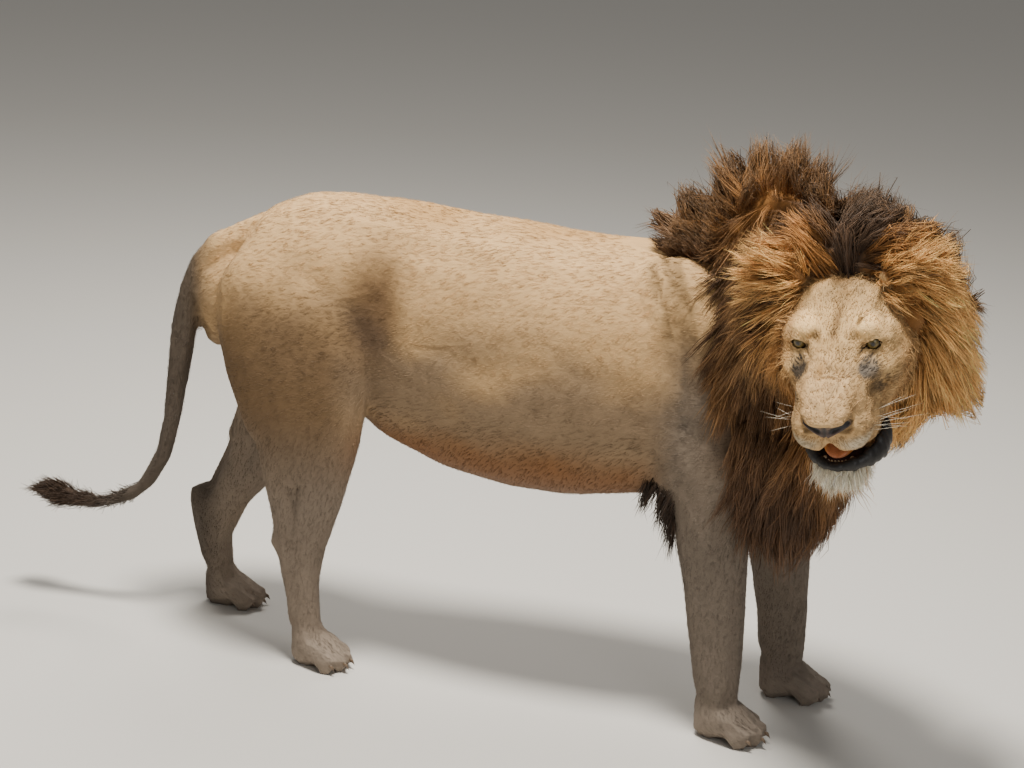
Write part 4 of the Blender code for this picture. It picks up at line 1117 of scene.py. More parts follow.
def mane_colour(points, rng):
    """Each lock's colour at its root and its tip."""
    b, h = both_frames(points)
    x, y, z = h.T
    around = np.arctan2(y, z + 0.03)
    noise = waves(points, 0.06, 31)
    root, tip = alike(DARK, points), alike(BROWN, points)
    # The ruff round the face: ginger, golden towards its edge and lightest on the left side, partly as painted
    # light.
    front = rise(x, -0.21, -0.14)
    root = mixed(root, GINGER * 0.65, front)
    tip = mixed(tip, GINGER * 1.65, front)
    gold = front * rise(np.abs(around), 0.3, 0.7) * rise(noise + 1.5 * (y > 0) + 1.2 * (z > 0.04), -1.2, 1.0)
    tip = mixed(tip, GOLD * 1.5, gold)
    root = mixed(root, GINGER * 1.4, gold * 0.8 * (0.35 + 0.65 * (y > 0)))
    low = front * rise(-z, 0.06, 0.18) * fade(y, 0.0, 0.06)
    tip = mixed(tip, BROWN * 2.4, 0.8 * low)
    # The outer ruff on the right darker brown, partly as painted shade.
    outer = front * rise(-y, 0.115, 0.165) * fade(z, 0.05, 0.13)
    tip = mixed(tip, BROWN * 2.1, 0.8 * outer)
    root = mixed(root, BROWN * 0.8, 0.9 * outer)
    crown = fade(np.abs(around - 0.08), 0.1, 0.34) * rise(z, 0.02, 0.06)
    root = mixed(root, DARK, crown)
    tip = mixed(tip, DARK * 1.9, crown * 0.95)
    # Along the neck: grey-brown crest on a ginger ground, then dark brown down to the breast.
    crest = (1.0 - front) * rise(b[:, 2], 1.06, 1.14)
    root = mixed(root, GINGER * 1.05, crest * fade(b[:, 0], 0.76, 0.84) * rise(noise, -1.2, 0.4))
    grey_brown = np.array((0.135, 0.082, 0.043)) * (1.0 + 0.8 * (b[:, :1] < 0.5))
    tip = mixed(tip, grey_brown, crest * (1.0 - 0.5 * rise(b[:, 0], 0.7, 0.8)))
    side = (1.0 - front) * (1.0 - crest) * rise(b[:, 2], 0.88, 1.0) * fade(b[:, 0], 0.66, 0.76)
    tip = mixed(tip, BROWN * 1.4, side * 0.8)
    root = mixed(root, BROWN, side)
    breast = fade(b[:, 2], 0.66, 0.86)
    tip = mixed(tip, (0.115, 0.063, 0.036), breast * 0.9)
    shade = np.exp(0.2 * noise + 0.2 * rng.normal(size=len(points)))[:, None]
    return root * shade, tip * shade


class Coat:
    """What every lock and tuft grows from: the skin's surface and the limits of the mane."""

    def __init__(self, skin):
        self.skin = Surface(skin)
        self.skin_tree = BVHTree.FromPolygons(self.skin.points.tolist(), self.skin.corners.tolist())
        solids = {node: joined_copy((node,), "limit") for node in MANE}
        self.trees = {node: tree_of(solid) for node, solid in solids.items()}
        whole = joined_copy(MANE, "limit")
        self.mane_tree = tree_of(whole)
        for solid in (*solids.values(), whole):
            bpy.data.objects.remove(solid)
        self.skin_share = self.shares(self.skin.centres, reach=0.035)

    def add_under(self, under):
        self.under = Surface(under)
        self.under_share = self.shares(self.under.centres, reach=0.07)

    def shares(self, centres, reach):
        """For each mane node, 1 on the triangles that are nearest to it and clear of the skin."""
        gaps = [norm(nearest(self.trees[node], centres)[0] - centres) for node in MANE]
        gaps = np.stack(gaps, axis=1)
        clear = nearest(self.skin_tree, centres)[2] > -0.0005
        near = clear & (gaps.min(axis=1) < reach)
        return {node: (near & (gaps.argmin(axis=1) == k)).astype(float) for k, node in enumerate(MANE)}

    def gap_to(self, node, centres):
        """How far each point lies outside a mane node, below 0 inside it."""
        place, _, above = nearest(self.trees[node], centres)
        return norm(centres - place) * np.where(above < 0, -1.0, 1.0)

    def places(self, points):
        """Each root's place on the skin's unwrap, from the nearest triangle of the skin."""
        index = np.array([self.skin_tree.find_nearest(point)[2] for point in points.tolist()])
        return self.skin.places[index].mean(axis=1)


def nearest_index(points, targets):
    """For each target, which of the points is nearest."""
    flat = [tuple(p) for q in points for p in (q, q + (1e-4, 0, 0), q + (0, 1e-4, 0))]
    tree = BVHTree.FromPolygons(flat, [(3 * k, 3 * k + 1, 3 * k + 2) for k in range(len(points))])
    return np.array([tree.find_nearest(point)[2] for point in targets.tolist()])


def make_locks(
    name, coat, surface, weights, guides, strands, width, seed, grow, gather=(0.3, 0.85), wander=0.006
):
    """One piece of long hair: strands gathered into pointed locks round guide lines.

    grow(coat, points, normals, rng) returns each guide line with its colours at root and tip.
    """
    rng = np.random.default_rng(seed)
    points, normals, _ = surface.scatter(guides, weights, rng)
    lines, root_shade, tip_shade = grow(coat, points, normals, rng)
    own, own_normals, _ = surface.scatter(strands, weights, rng)
    pick = nearest_index(points, own)
    along = np.linspace(0.0, 1.0, GUIDE_POINTS)
    reach = rng.uniform(0.7, 1.08, strands)[:, None, None]
    line = (lines[pick] - lines[pick][:, :1]) * reach
    pull = rng.uniform(*gather, strands)[:, None] * along[None] ** 1.2
    paths = mixed(own[:, None, :] + line, points[pick][:, None, :] + line, pull)
    stray = rng.normal(size=(strands, 1, 3)) * wander
    sway = np.sin(along * 6.0 + rng.uniform(0, 6.28, (strands, 1)))[..., None]
    paths = paths + stray * along[None, :, None] * (1.0 + 0.5 * sway)
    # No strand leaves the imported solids' box by more than this, ahead or above.
    for axis, limit in ((0, CAD_BOX[1][0] + 0.03), (2, CAD_BOX[1][2] + 0.026)):
        room = (limit - paths[:, :1, axis]) / np.maximum(np.ptp(paths[..., axis], axis=1)[:, None], 0.001)
        paths = paths[:, :1] + (paths - paths[:, :1]) * np.clip(room, 0.25, 1.0)[..., None]
    paths[:, 0] -= own_normals * 0.004
    shade = np.exp(0.2 * rng.normal(size=strands))[:, None]
    widths = width * rng.uniform(0.6, 1.25, strands)
    colours = root_shade[pick] * shade, tip_shade[pick] * shade
    return hair_mesh(name, paths, widths, own_normals, *colours, coat.places(own))


def mane_grower(length):
    """Grows the mane's guide lines of about that length."""

    def grow(coat, points, normals, rng):
        b = in_frame(points, BODY)
        lengths = length * rng.uniform(0.75, 1.15, len(points)) * (1.0 - 0.5 * beside_crest(b))
        h = in_frame(points, HEAD)
        lengths = lengths * (1.0 + 0.4 * rise(h[:, 1], 0.03, 0.08) * rise(-h[:, 2], 0.04, 0.12))
        lines = grow_guides(points, normals, lengths, (coat.skin_tree, coat.mane_tree), rng)
        return lines, *mane_colour(points, rng)

    return grow


def side_of_head(surface, side):
    """1 on the triangles on that side of the head."""
    return (in_frame(surface.centres, HEAD)[:, 1] * side > 0).astype(float)


def make_mane(coat):
    """Yields the mane's pieces, each with the node it stands for."""
    surface, share = coat.under, coat.under_share
    b = in_frame(surface.centres, BODY)
    cover = 1.0 - bare_neck(b - (0.035, 0.0, 0.0))
    left = (b[:, 1] > -0.02).astype(float)
    ruff = share["mane_face"] * (1.0 - bare_face(in_frame(surface.centres, HEAD)))
    breast = share["mane_breast"] * rise(b[:, 2], 0.5, 0.6)
    for name, weights, guides, strands, length, width, seed in (
        ("mane_face_left", ruff * side_of_head(surface, LEFT), 460, 9500, 0.14, 0.0012, 51),
        ("mane_face_right", ruff * side_of_head(surface, RIGHT), 460, 9500, 0.14, 0.0012, 52),
        ("mane_crest_locks", share["mane_crest"], 1200, 9800, 0.15, 0.001, 53),
        ("mane_neck_left", share["mane_neck"] * left * cover, 450, 6000, 0.14, 0.0015, 54),
        ("mane_neck_right", share["mane_neck"] * (1.0 - left) * cover, 450, 7200, 0.13, 0.0012, 55),
        ("mane_breast_locks", breast, 500, 7000, 0.15, 0.0013, 56),
    ):
        looks = ((0.1, 0.6), 0.011) if "crest" in name else ((0.3, 0.85), 0.007)
        grow = mane_grower(length)
        piece = make_locks(name, coat, surface, weights, guides, strands, width, seed, grow, *looks)
        yield piece, "_".join(name.split("_")[:2])


# ---- other long hair ----
def grown(coat, points, normals, way, lengths, lift, rng, fall=0.0):
    """Guide lines that leave along way, lifted off the skin, and fall a little towards the floor."""
    way = strewn(way - normals * dots(way, normals)[:, None] * 0.9, 0.12, rng)
    heading = unit(way + normals * (lift * rng.uniform(0.6, 1.3, len(points)))[:, None])
    path = [points]
    for _ in range(GUIDE_POINTS - 1):
        heading = unit(heading + way * 0.35 + (0.0, 0.0, -fall))
        here = path[-1] + heading * (lengths / (GUIDE_POINTS - 1))[:, None]
        place, normal, above = nearest(coat.skin_tree, here)
        here = np.where((above < 0.003)[:, None], place + normal * 0.004, here)
        path.append(here)
    return np.stack(path, axis=1)


def bare_face(h):
    """1 inside the hairline, where the mane leaves the face bare."""
    return fade(beyond_hairline(h), -0.004, 0.022) * (norm(h) < HEAD_REACH)


def grow_hairline(coat, points, normals, rng):
    """Hair that lengthens from the face's short coat into the ruff."""
    h = in_frame(points, HEAD)
    _, y, z = h.T
    beyond = beyond_hairline(h)
    share = rise(beyond, -0.01, 0.036)
    lengths = (0.012 + 0.08 * share) * rng.uniform(0.8, 1.2, len(points))
    lines = grown(coat, points, normals, parted(h), lengths, 0.16 + 0.34 * share, rng, 0.05)
    crown = fade(np.abs(y - 0.012), 0.055, 0.11) * rise(z, 0.02, 0.06)
    root = mixed(coat_colour(points), mixed(GINGER * 0.8, DARK * 1.2, crown), share * 0.9)
    # Golder on the left side, partly as painted light.
    gold = mixed(GINGER * 1.2, GOLD * 1.3, rise(waves(points, 0.05, 33) + 1.4 * (y > 0), -1.0, 1.4))
    tip = mixed(coat_colour(points) * 1.15, mixed(gold, DARK * 1.9, crown), rise(beyond, -0.012, 0.02))
    return lines, root, tip


def ear_way(h):
    """Out over the ears."""
    return turned(unit(np.column_stack([np.full(len(h), 0.05), h[:, 1] * 1.3, h[:, 2]])), HEAD_TURN)


def beard_way(h):
    """Down from the chin, and a little to each side."""
    flare = np.clip(h[:, 1], -0.03, 0.09) * 12.0
    way = np.column_stack([np.full(len(h), 0.25), flare, np.full(len(h), -1.0)])
    return turned(way, HEAD_TURN) * 0.6 + (0.0, 0.0, -0.6)


def elbow_way(h):
    """Back and down."""
    return alike((-0.3, 0.0, -0.95), h)


def plain_grower(way_of, length, spread, lift, fall, root, tip):
    """Grows hair of one colour. way_of gives the way it leaves the skin, from points in the head's frame."""

    def grow(coat, points, normals, rng):
        lengths = length * rng.uniform(*spread, len(points))
        way = way_of(in_frame(points, HEAD))
        lines = grown(coat, points, normals, way, lengths, lift, rng, fall)
        return lines, alike(root, points), alike(tip, points)

    return grow


grow_ear = plain_grower(ear_way, 0.08, (0.7, 1.3), 0.5, 0.0, GINGER * 1.2, GOLD * 1.5)
grow_beard = plain_grower(beard_way, 0.05, (0.6, 1.2), 0.35, 0.15, WHITE * 1.1, WHITE * 1.3)
grow_elbow = plain_grower(elbow_way, 0.095, (0.6, 1.1), 0.55, 0.12, DARK, DARK * 0.9)


def grow_tail(coat, points, normals, rng):
    """The dark tuft round the end of the tail."""
    b = in_frame(points, BODY)
    share = rise(-b[:, 0], 0.84, 0.97)
    lengths = (0.016 + 0.034 * share) * rng.uniform(0.7, 1.2, len(points))
    way = alike((-1.0, 0.0, -0.12), points)
    lines = grown(coat, points, normals, way, lengths, 0.14 + 0.22 * share, rng, 0.02)
    root = mixed(coat_colour(points), DARK * 1.4, share)
    return lines, root, mixed(coat_colour(points), DARK * 1.6, share)


def around_box(centres, node, margin):
    """1 on the triangles inside a node's box, widened by that margin."""
    low, high = (np.array(corner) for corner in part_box(node))
    return np.all((centres > low - margin) & (centres < high + margin), axis=1).astype(float)


def hairline_cover(coat, centres, h):
    """How thick the hairline's hair stands on each triangle of the skin: none round the eyes or the mouth."""
    beyond = beyond_hairline(h)
    open_skin = (coat.gap_to("mane_face", centres) > -0.026) | (bare_face(h) > 0.3)
    on_head = (norm(h) < HEAD_REACH) & (h[:, 0] < 0.1) & (h[:, 0] > -0.2)
    cover = np.where(on_head & open_skin & (beyond < 0.09), rise(beyond, -0.014, 0.008), 0.0)
    bare = np.clip(mouth_lining(h), 0.0, 1.0)
    for side in SIDES:
        around_eye = norm(h - (-EYE_DEPTH, side * EYE_HALF_SPACING, 0.0))
        bare = np.maximum(bare, fade(around_eye, EYE_AREA, 0.042))
    return cover * (1.0 - bare)


def make_other_hair(coat):
    """Yields the hairline, ear, elbow, beard and tail hair, each with its slot and the nodes it replaces."""
    centres = coat.skin.centres
    b, h = both_frames(centres)
    hairline = hairline_cover(coat, centres, h)
    ahead = h[:, 0] + 0.8 * np.clip(h[:, 1], 0.0, 0.08)
    chin = rise(-h[:, 2], 0.218, 0.23) * rise(ahead, 0.015, 0.045) * (norm(h) < 0.33)
    tail = rise(-b[:, 0], 0.8, 0.93) * (b[:, 2] < 0.45) * (np.abs(b[:, 1]) < 0.08)
    kinds = []
    for side, word in SIDES.items():
        own = hairline * (h[:, 1] * side > 0)
        ear = around_box(centres, f"ear_{word}", 0.004)
        tuft = f"elbow_tuft_{word}"
        elbow = around_box(centres, tuft, 0.012)
        kinds += [
            (f"hairline_{word}", own, 1100, 5600, 0.0008, 70 + side, grow_hairline, "mane", ()),
            (f"ear_hair_{word}", ear, 120, 1000, 0.0009, 73 + side, grow_ear, "mane", ()),
            (f"elbow_hair_{word}", elbow, 60, 700, 0.0011, 76 + side, grow_elbow, "dark_fur", (tuft,)),
        ]
    kinds += [
        ("beard_hair", chin, 160, 2400, 0.0008, 80, grow_beard, "white_fur", ("beard",)),
        ("tail_hair", tail, 160, 1900, 0.001, 81, grow_tail, "dark_fur", ()),
    ]
    for name, weights, guides, strands, width, seed, grow, slot, nodes in kinds:
        yield make_locks(name, coat, coat.skin, weights, guides, strands, width, seed, grow), slot, nodes


# ---- the short coat ----
def on_face(h):
    """Where a point of the head lies on its front."""
    return (norm(h) < HEAD_REACH) & (h[:, 0] > -0.16)


def body_cover(coat):
    """How thick the short tufts stand on each triangle of the skin: none under the mane or on bare skin."""
    centres = coat.skin.centres
    b, h = both_frames(centres)
    covered = (sum(coat.skin_share.values()) > 0) & (bare_neck(b) < 0.5)
    return np.where(covered | on_face(h), 0.0, 1.0) * rise(b[:, 2], 0.006, 0.02)


def face_cover(coat):
    """How thick the short tufts stand on the face: none on the eyes, the nose or inside the mouth."""
    h = in_frame(coat.skin.centres, HEAD)
    bare = mouth_lining(h) > 0.2
    for side in SIDES:
        distance, _, _, opening = seen_from_eye(h, side)
        bare = bare | ((opening > -7.0) & (distance < EYE_AREA) & (h[:, 0] > -0.03))
    nose = spot(h, NOSE_END, (0.034, 0.056, 0.02)) > 0
    return np.where(on_face(h) & ~bare & ~nose, 1.0, 0.0)


def make_short_coats(coat):
    """Yields the short tufts over the body, the legs and the face."""
    b = in_frame(coat.skin.centres, BODY)
    cover = body_cover(coat)
    low = fade(b[:, 2], 0.3, 0.55)
    right = (b[:, 1] < 0).astype(float)
    for name, weights, count, length, width, contrast, seed in (
        ("coat_trunk_right", cover * right * (1.0 - low), 17000, 0.02, 0.0006, 0.12, 61),
        ("coat_trunk_left", cover * (1.0 - right) * (1.0 - low), 13500, 0.022, 0.0006, 0.12, 62),
        ("coat_legs", cover * low, 13000, 0.014, 0.0005, 0.12, 63),
        ("coat_face", face_cover(coat), 15000, 0.013, 0.00085, 0.4, 64),
    ):
        yield make_short_coat(name, coat, count, weights, length, width, contrast, seed)


# ---- eyes, nose and mouth ----
EYE_DROP = -9.0  # degrees the gaze falls below the head's own level


def eye_looks(side):
    return HEAD_TURN @ turn(side * EYE_SPREAD * 0.6, "Z") @ turn(EYE_DROP, "Y")


def eye_centre(side):
    return HEAD @ Vector((-EYE_DEPTH, side * EYE_HALF_SPACING, 0.0))


def eye_finish(side):
    """Amber iris with fine rays and a round pupil, dark round the rim, under a wet clear coat."""
    finish = Finish(f"eye_{SIDES[side]}", Roughness=0.25, Coat_Weight=0.2, Coat_Roughness=0.04)
    centre = eye_centre(side)
    away = finish.node("VectorMath", {"operation": "SUBTRACT"}, {0: finish.coordinates(), 1: centre})
    turn_back = {"Vector": away, "Rotation": eye_looks(side).to_euler()}
    local = finish.node("Mapping", {"vector_type": "TEXTURE"}, turn_back)
    parts = finish.node("SeparateXYZ", {}, {0: local})
    y = Wire(finish, parts.socket.node.outputs["Y"])
    z = Wire(finish, parts.socket.node.outputs["Z"])
    reach = (y * y + z * z) ** 0.5 / EYE_RADIUS
    rays = finish.noise(finish.spread(local, (40.0, 900.0, 900.0)), 1.0, 2.0)
    stops = (
        (0.0, (0.004, 0.003, 0.003)),
        (0.17, (0.004, 0.003, 0.003)),
        (0.21, (0.06, 0.042, 0.01)),
        (0.42, (0.16, 0.115, 0.032)),
        (0.58, (0.08, 0.055, 0.018)),
        (0.66, (0.012, 0.008, 0.006)),
        (1.0, (0.02, 0.014, 0.01)),
    )
    finish.set("Base Color", finish.ramp(reach + rays * 0.06 - 0.03, stops))
    return finish.material


def sphere(name, segments, rings):
    """A unit sphere to shape."""
    bpy.ops.object.select_all(action="DESELECT")
    bpy.ops.mesh.primitive_uv_sphere_add(segments=segments, ring_count=rings, radius=1.0)
    piece = bpy.context.active_object
    piece.name = name
    piece.data.shade_smooth()
    return piece


def make_eye(side):
    """An eyeball whose front swells into the clear window over the iris."""
    eye = sphere(f"eyeball_{SIDES[side]}", 48, 32)
    points = points_of(eye)
    eye_points = points @ np.array(turn(90.0, "Y"))[:3, :3].T * EYE_RADIUS
    ahead = eye_points[:, 0] / EYE_RADIUS
    eye_points *= (1.0 + 0.055 * rise(ahead, 0.76, 0.95))[:, None]
    set_points(eye, eye_points @ np.array(eye_looks(side))[:3, :3].T + np.array(eye_centre(side)))
    return eye


def wet_finish(name, roughness, height=0.0006, size=450.0):
    """Bare wet skin with a fine pebbled grain, in its painted colours."""
    finish = Finish(name, Roughness=roughness, Coat_Weight=0.25, Coat_Roughness=0.25, Specular_IOR_Level=0.4)
    at = finish.coordinates()
    cells = finish.node("TexVoronoi", {}, {"Vector": at, "Scale": size})
    grain = finish.noise(at, size * 0.3, 3.0)
    finish.show_paint(0.7 + grain * 0.6)
    finish.bump(cells * 0.7 + grain * 0.6, height, 0.8)
    return finish.material


NOSTRIL = ((0.018, 0.014, -0.005), (0.01, 0.028, 0.0), (0.0, 0.044, 0.004))  # its run on the left


def make_nose_pad():
    """The bare pad under the end of the nose: two comma nostrils, a groove and a narrow foot."""
    pad = sphere("nose_pad", 64, 48)
    p = points_of(pad)
    p = np.sign(p) * np.abs(p) ** 0.85
    p = p * (0.02, 0.05, 0.02)
    x, y, z = p.T
    foot = rise(-z, 0.002, 0.018)
    y = y * (1.0 - 0.5 * foot)
    z = z - 0.005 * foot * (1.0 - np.abs(y) / 0.05)
    x = x - 6.0 * y**2
    p = np.column_stack([x, y, z])
    dent = np.zeros(len(p))
    for side in SIDES:
        comma = [mirrored(place, side) for place in NOSTRIL]
        dent = np.maximum(dent, stroke(p, comma, 0.0065))
    dent = np.maximum(dent, 0.5 * stroke(p * (1.0, 1.0, 0.0), ((0.02, 0.0, 0.0), (0.0, 0.0, 0.0)), 0.002))
    p[:, 0] -= 0.011 * dent
    set_points(pad, in_row(p + (0.156, 0.0, -0.094), HEAD))
    pink = mixed((0.06, 0.032, 0.024), NOSE_TAN * 0.35, rise(z, -0.004, 0.014))
    # The nostrils' dents painted black: painted shade inside them.
    paint(pad, mixed(pink, BLACK, rise(dent, 0.15, 0.6)))
    return pad


LIP = (  # the lower lip's run on the left: place, half height, half thickness
    ((-0.006, 0.085, -0.184), 0.012, 0.005),
    ((0.012, 0.087, -0.198), 0.024, 0.008),
    ((0.04, 0.083, -0.211), 0.026, 0.01),
    ((0.07, 0.074, -0.216), 0.022, 0.011),
    ((0.095, 0.052, -0.22), 0.015, 0.01),
    ((0.113, 0.027, -0.221), 0.012, 0.009),
    ((0.12, 0.0, -0.221), 0.011, 0.009),
)
LIP_SIDES = 14


def make_lips():
    """The black lower lip: a soft roll along the jaw's rim that droops at the left corner of the mouth."""
    left = [(np.array(place), height, thick) for place, height, thick in LIP]
    right = [(place * (1.0, -0.8, 1.0), height * 0.75, thick) for place, height, thick in left[1:]]
    run = right + left[-2::-1]
    knots = np.arange(len(run))
    along = np.linspace(0.0, len(run) - 1.0, 97)
    centre = np.column_stack([np.interp(along, knots, [place[k] for place, _, _ in run]) for k in range(3)])
    for _ in range(6):
        centre[1:-1] = (centre[:-2] + 2 * centre[1:-1] + centre[2:]) / 4
    height = np.interp(along, knots, [height for _, height, _ in run])
    thick = np.interp(along, knots, [thick for _, _, thick in run])
    taper = np.sqrt(np.clip(np.minimum(along, along[::-1]) * 2.0, 0.02, 1.0))
    outward = unit(np.cross(np.gradient(centre, axis=0), (0.0, 0.0, -1.0)))
    outward = outward * np.sign(dots(outward, centre * (1.0, 1.0, 0.0)))[:, None]
    swell = 1.0 + 0.1 * np.sin(along * 5.3) + 0.07 * np.sin(along * 11.1 + 1.0)
    rows = []
    for k in range(LIP_SIDES):
        angle = 2 * math.pi * k / LIP_SIDES
        out = math.cos(angle) * thick * taper * swell + 0.15 * (1.0 - math.sin(angle)) * height * taper
        rise_up = math.sin(angle) * height * taper * swell
        rows.append(centre + out[:, None] * outward + rise_up[:, None] * (0.0, 0.0, 1.0))
    points = np.stack(rows, axis=1).reshape(-1, 3)
    faces = [tuple(range(LIP_SIDES))[::-1], tuple(range(len(points) - LIP_SIDES, len(points)))]
    for ring in range(len(along) - 1):
        for k in range(LIP_SIDES):
            a, b = ring * LIP_SIDES + k, ring * LIP_SIDES + (k + 1) % LIP_SIDES
            faces.append((a, b, b + LIP_SIDES, a + LIP_SIDES))
    mesh = bpy.data.meshes.new("lower_lip")
    mesh.from_pydata(in_row(points, HEAD).tolist(), [], faces)
    bm = bmesh.new()
    bm.from_mesh(mesh)
    bmesh.ops.recalc_face_normals(bm, faces=bm.faces)
    bm.to_mesh(mesh)
    bm.free()
    mesh.shade_smooth()
    lips = new_object("lower_lip", mesh)
    paint(lips, alike(BLACK * 0.7, points))
    return lips


def make_tongue():
    """A tongue with a groove down its middle and raised edges."""
    tongue = sphere("tongue_body", 48, 32)
    p = points_of(tongue) * (0.058, 0.036, 0.013)
    x, y, z = p.T
    z = z + 0.006 * (y / 0.036) ** 2 * rise(z, -0.006, 0.004) - 0.004 * np.exp(-((y / 0.005) ** 2)) * (z > 0)
    z = z + 0.004 * rise(x, 0.02, 0.058) - 0.25 * x * 0.12
    p = np.column_stack([x, y, z])
    swing = jaw_frame() @ Matrix.Translation((0.066, 0.0, -0.166)) @ turn(3.0, "Y")
    set_points(tongue, in_row(p, swing))
    rim = rise(np.abs(y), 0.016, 0.034)
    paint(tongue, mixed((0.52, 0.18, 0.075), (0.76, 0.27, 0.035), rim))
    return tongue


def make_teeth():
    """The lower front teeth: six small ones between two worn fangs, on a dark gum."""
    parts = []
    for k in range(6):
        y = (k - 2.5) * 0.0072
        parts.append(((0.1275 - 9 * y * y, y, -0.1765), (0.0024, 0.0027, 0.0066 + 0.0036 * (k == 4)), 0.0))
    for side in SIDES:
        parts.append(((0.112, side * 0.0285, -0.18), (0.0055, 0.0052, 0.011), side * 8.0))
    parts.append(((0.115, 0.0, -0.18), (0.016, 0.034, 0.008), 0.0))
    pieces = []
    for place, radii, lean in parts:
        tooth = sphere("tooth", 16, 12)
        p = points_of(tooth)
        p = p * (1.0 - 0.35 * rise(p[:, 2:], 0.0, 1.0) * (radii[2] > 0.0069)) * radii
        frame_matrix = jaw_frame() @ Matrix.Translation(place) @ turn(lean, "X")
        set_points(tooth, in_row(p, frame_matrix))
        gum = radii[2] == 0.008
        ivory = mixed((0.16, 0.08, 0.04), (0.44, 0.33, 0.2), rise(p[:, 2], -0.006, 0.004))
        paint(tooth, alike(MOUTH * 2.0, p) if gum else ivory)
        pieces.append(tooth)
    return joined(pieces, "lower_teeth")


def make_whiskers(side, coat):
    """Whiskers in rows on the pad, three on the left and two on the right, stiff and tapered."""
    rng = np.random.default_rng(90 + side)
    roots = []
    for row in range(3 if side == LEFT else 2):
        for k in range(3 + row % 2):
            height = -0.112 - WHISKER_SPACING * row + 0.002 * k
            roots.append((0.118 - 0.018 * k - 0.003 * row, side * 0.09, height))
    roots = in_row(np.array(roots) + rng.normal(size=(len(roots), 3)) * 0.002, HEAD)
    points, normals, _ = nearest(coat.skin_tree, roots)
    count = len(points)
    way = alike(turned(np.array((-0.05, side, 0.22)), HEAD_TURN), points)
    way = strewn(unit(way + normals * 0.25), 0.24, rng)
    lengths = rng.uniform(0.06, 0.13, count)[:, None] * (1.0 if side == LEFT else 0.65)
    along = np.linspace(0.0, 1.0, GUIDE_POINTS)[None, :, None]
    bend = turned(np.array((-0.3, 0.0, -0.22)), HEAD_TURN) * rng.uniform(0.3, 1.0, (count, 1))
    paths = points[:, None] + (way * lengths)[:, None] * along + (bend * lengths)[:, None] * along**2
    paths[:, 0] -= normals * 0.002
    shade = alike(WHITE * 1.25, points)
    name = f"whiskers_{SIDES[side]}"
    return hair_mesh(name, paths, np.full(count, 0.00028), normals, shade, shade, coat.places(points), 1.0)


def make_claws(node):
    """Four claws that just show from a paw's toes."""
    low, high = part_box(node)
    side = LEFT if node.endswith("left") else RIGHT
    scale = 1.0 if node.startswith("fore") else 0.9
    middle = Vector(((low.x + high.x) / 2, (low.y + high.y) / 2, 0.0))
    ahead = high.x - middle.x
    claws = []
    for spread, reach in ((-0.05, -0.024), (-0.0175, 0.0), (0.0175, 0.0), (0.05, -0.024)):
        claw = sphere("claw", 12, 10)
        p = points_of(claw)
        x = p[:, 0]
        taper = 1.0 - 0.75 * rise(x, -0.2, 1.0)
        p = p * np.column_stack([np.ones(len(p)), taper, taper]) * (0.011, 0.003, 0.0045)
        p[:, 2] -= 30.0 * np.clip(p[:, 0] + 0.004, 0.0, 1.0) ** 2
        turn_out = turn(side * 6.0, "Z")
        offset = turn_out @ Vector((ahead + reach - 0.01, spread * scale, 0.024 * scale))
        pose = Matrix.Translation(middle + offset) @ turn_out @ turn(24.0, "Y")
        set_points(claw, in_row(p, pose))
        paint(claw, mixed((0.16, 0.11, 0.07), DARK * 2.0, rise(x, -0.2, 0.8)))
        claws.append(claw)
    return joined(claws, f"claws_{node}")


# ---- the stage ----
def make_floor():
    bpy.ops.object.select_all(action="DESELECT")
    bpy.ops.mesh.primitive_plane_add(size=60.0)
    floor = bpy.context.active_object
    floor.name = "floor"
    finish = Finish("studio_floor", Roughness=0.9, Base_Color=(0.64, 0.62, 0.58, 1.0))
    floor.data.materials.append(finish.material)
    floor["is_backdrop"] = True


def make_light(name, place, aim, size, watts, colour=(1.0, 1.0, 1.0)):
    light = bpy.data.lights.new(name, "AREA")
    light.shape = "DISK"
    light.size = size
    light.energy = watts
    light.color = colour
    lamp = new_object(name, light)
    lamp.location = place
    lamp.rotation_euler = (Vector(aim) - Vector(place)).to_track_quat("-Z", "Y").to_euler()


def make_camera():
    """Looks down on the lion's right side, from a standing person's height and a little ahead."""
    lens = bpy.data.cameras.new("camera")
    lens.lens = 82.0
    lens.clip_end = 100.0
    camera = new_object("camera", lens)
    aim = BODY @ Matrix.Translation((0.1, 0.0, 0.72))
    turned_to = aim @ turn(14.0, "Z") @ turn(73.0, "X") @ turn(4.0, "Z")
    camera.matrix_world = turned_to @ Matrix.Translation((0, 0, 5.4))
    bpy.context.scene.camera = camera


def light_the_scene():
    world = bpy.data.worlds.new("studio")
    bpy.context.scene.world = world
    world.use_nodes = True
    sky = world.node_tree.nodes["Background"].inputs
    sky["Color"].default_value = (1.0, 0.98, 0.95, 1.0)
    sky["Strength"].default_value = 0.24
    make_light("key", (0.1, -0.75, 5.4), (0.1, -0.05, 0.9), 1.2, 480.0, (1.0, 0.95, 0.87))
    make_light("back", (-0.8, 2.4, 3.8), (0.0, 0.0, 0.9), 1.6, 80.0, (1.0, 0.96, 0.9))
    make_light("fill", (3.4, -3.9, 1.9), (0.4, 0.0, 0.8), 2.5, 36.0)


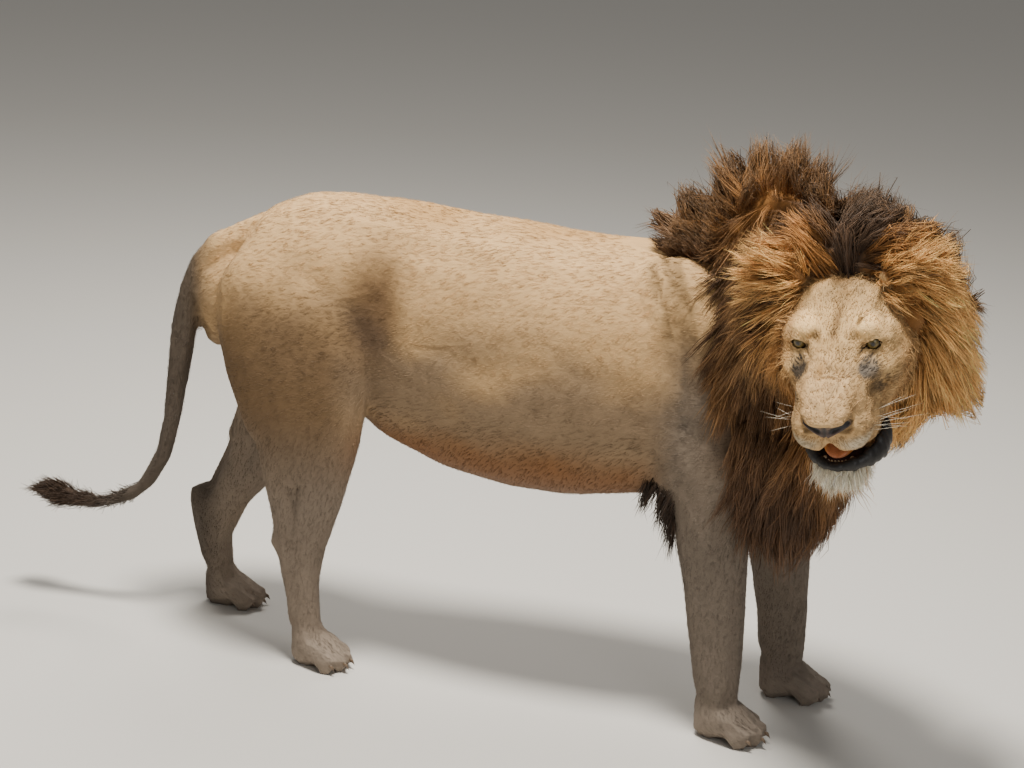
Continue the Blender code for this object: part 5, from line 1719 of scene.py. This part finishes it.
# ---- making the lion ----
def unwrapped(skin):
    """Gives the skin its unwrap, which the coat's patches follow."""
    only(skin)
    bpy.ops.object.mode_set(mode="EDIT")
    bpy.ops.mesh.select_all(action="SELECT")
    bpy.ops.uv.smart_project(angle_limit=math.radians(66), island_margin=0.002)
    bpy.ops.object.mode_set(mode="OBJECT")


def finished(piece, material, slot, *nodes):
    """Gives a piece its material and its body, and hides the nodes that it stands for. Its slot is not used."""
    piece.data.materials.clear()
    piece.data.materials.append(material)
    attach(piece, "root")
    if nodes:
        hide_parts(*nodes)


def main():
    make_floor()
    make_camera()
    light_the_scene()
    skin = make_skin()
    unwrapped(skin)
    paint(skin, coat_colour(points_of(skin)))
    long_hair, short_tufts = hair_finish("mane_hair", 0.55), hair_finish("short_tufts", 0.7)
    finished(skin, hide_finish(), "coat", *FLESH)
    for side, word in SIDES.items():
        finished(make_eye(side), eye_finish(side), "eye", f"eye_{word}")
    finished(make_nose_pad(), wet_finish("nose_pad_skin", 0.5), "nose", "nose")
    finished(make_lips(), wet_finish("lip_skin", 0.6, 0.0008, 300.0), "nose")
    finished(make_tongue(), wet_finish("tongue_skin", 0.35, 0.0008, 900.0), "tongue", "tongue")
    finished(make_teeth(), wet_finish("tooth_enamel", 0.25, 0.0001, 200.0), "tooth", "teeth")
    horn = wet_finish("claw_horn", 0.35, 0.0001, 300.0)
    for paw in ("forepaw_left", "forepaw_right", "hind_foot_left", "hind_foot_right"):
        finished(make_claws(paw), horn, "dark_fur")
    coat = Coat(skin)
    under = make_under_mane(coat.skin_tree)
    coat.add_under(under)
    # The inner hair takes the locks' dark root colours, darkened further as painted shade deep inside the mane.
    paint(under, mane_colour(points_of(under), np.random.default_rng(1))[0] * 0.6)
    finished(under, long_hair, "mane")
    for piece, node in make_mane(coat):
        finished(piece, long_hair, "mane", node)
    for piece, slot, nodes in make_other_hair(coat):
        finished(piece, long_hair, slot, *nodes)
    for side in SIDES:
        finished(make_whiskers(side, coat), long_hair, "white_fur")
    for piece in make_short_coats(coat):
        finished(piece, short_tufts, "coat")


main()
boxes = {"cad": CAD_BOX, "visual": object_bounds()}
{name: [list(corner) for corner in box] for name, box in boxes.items()}
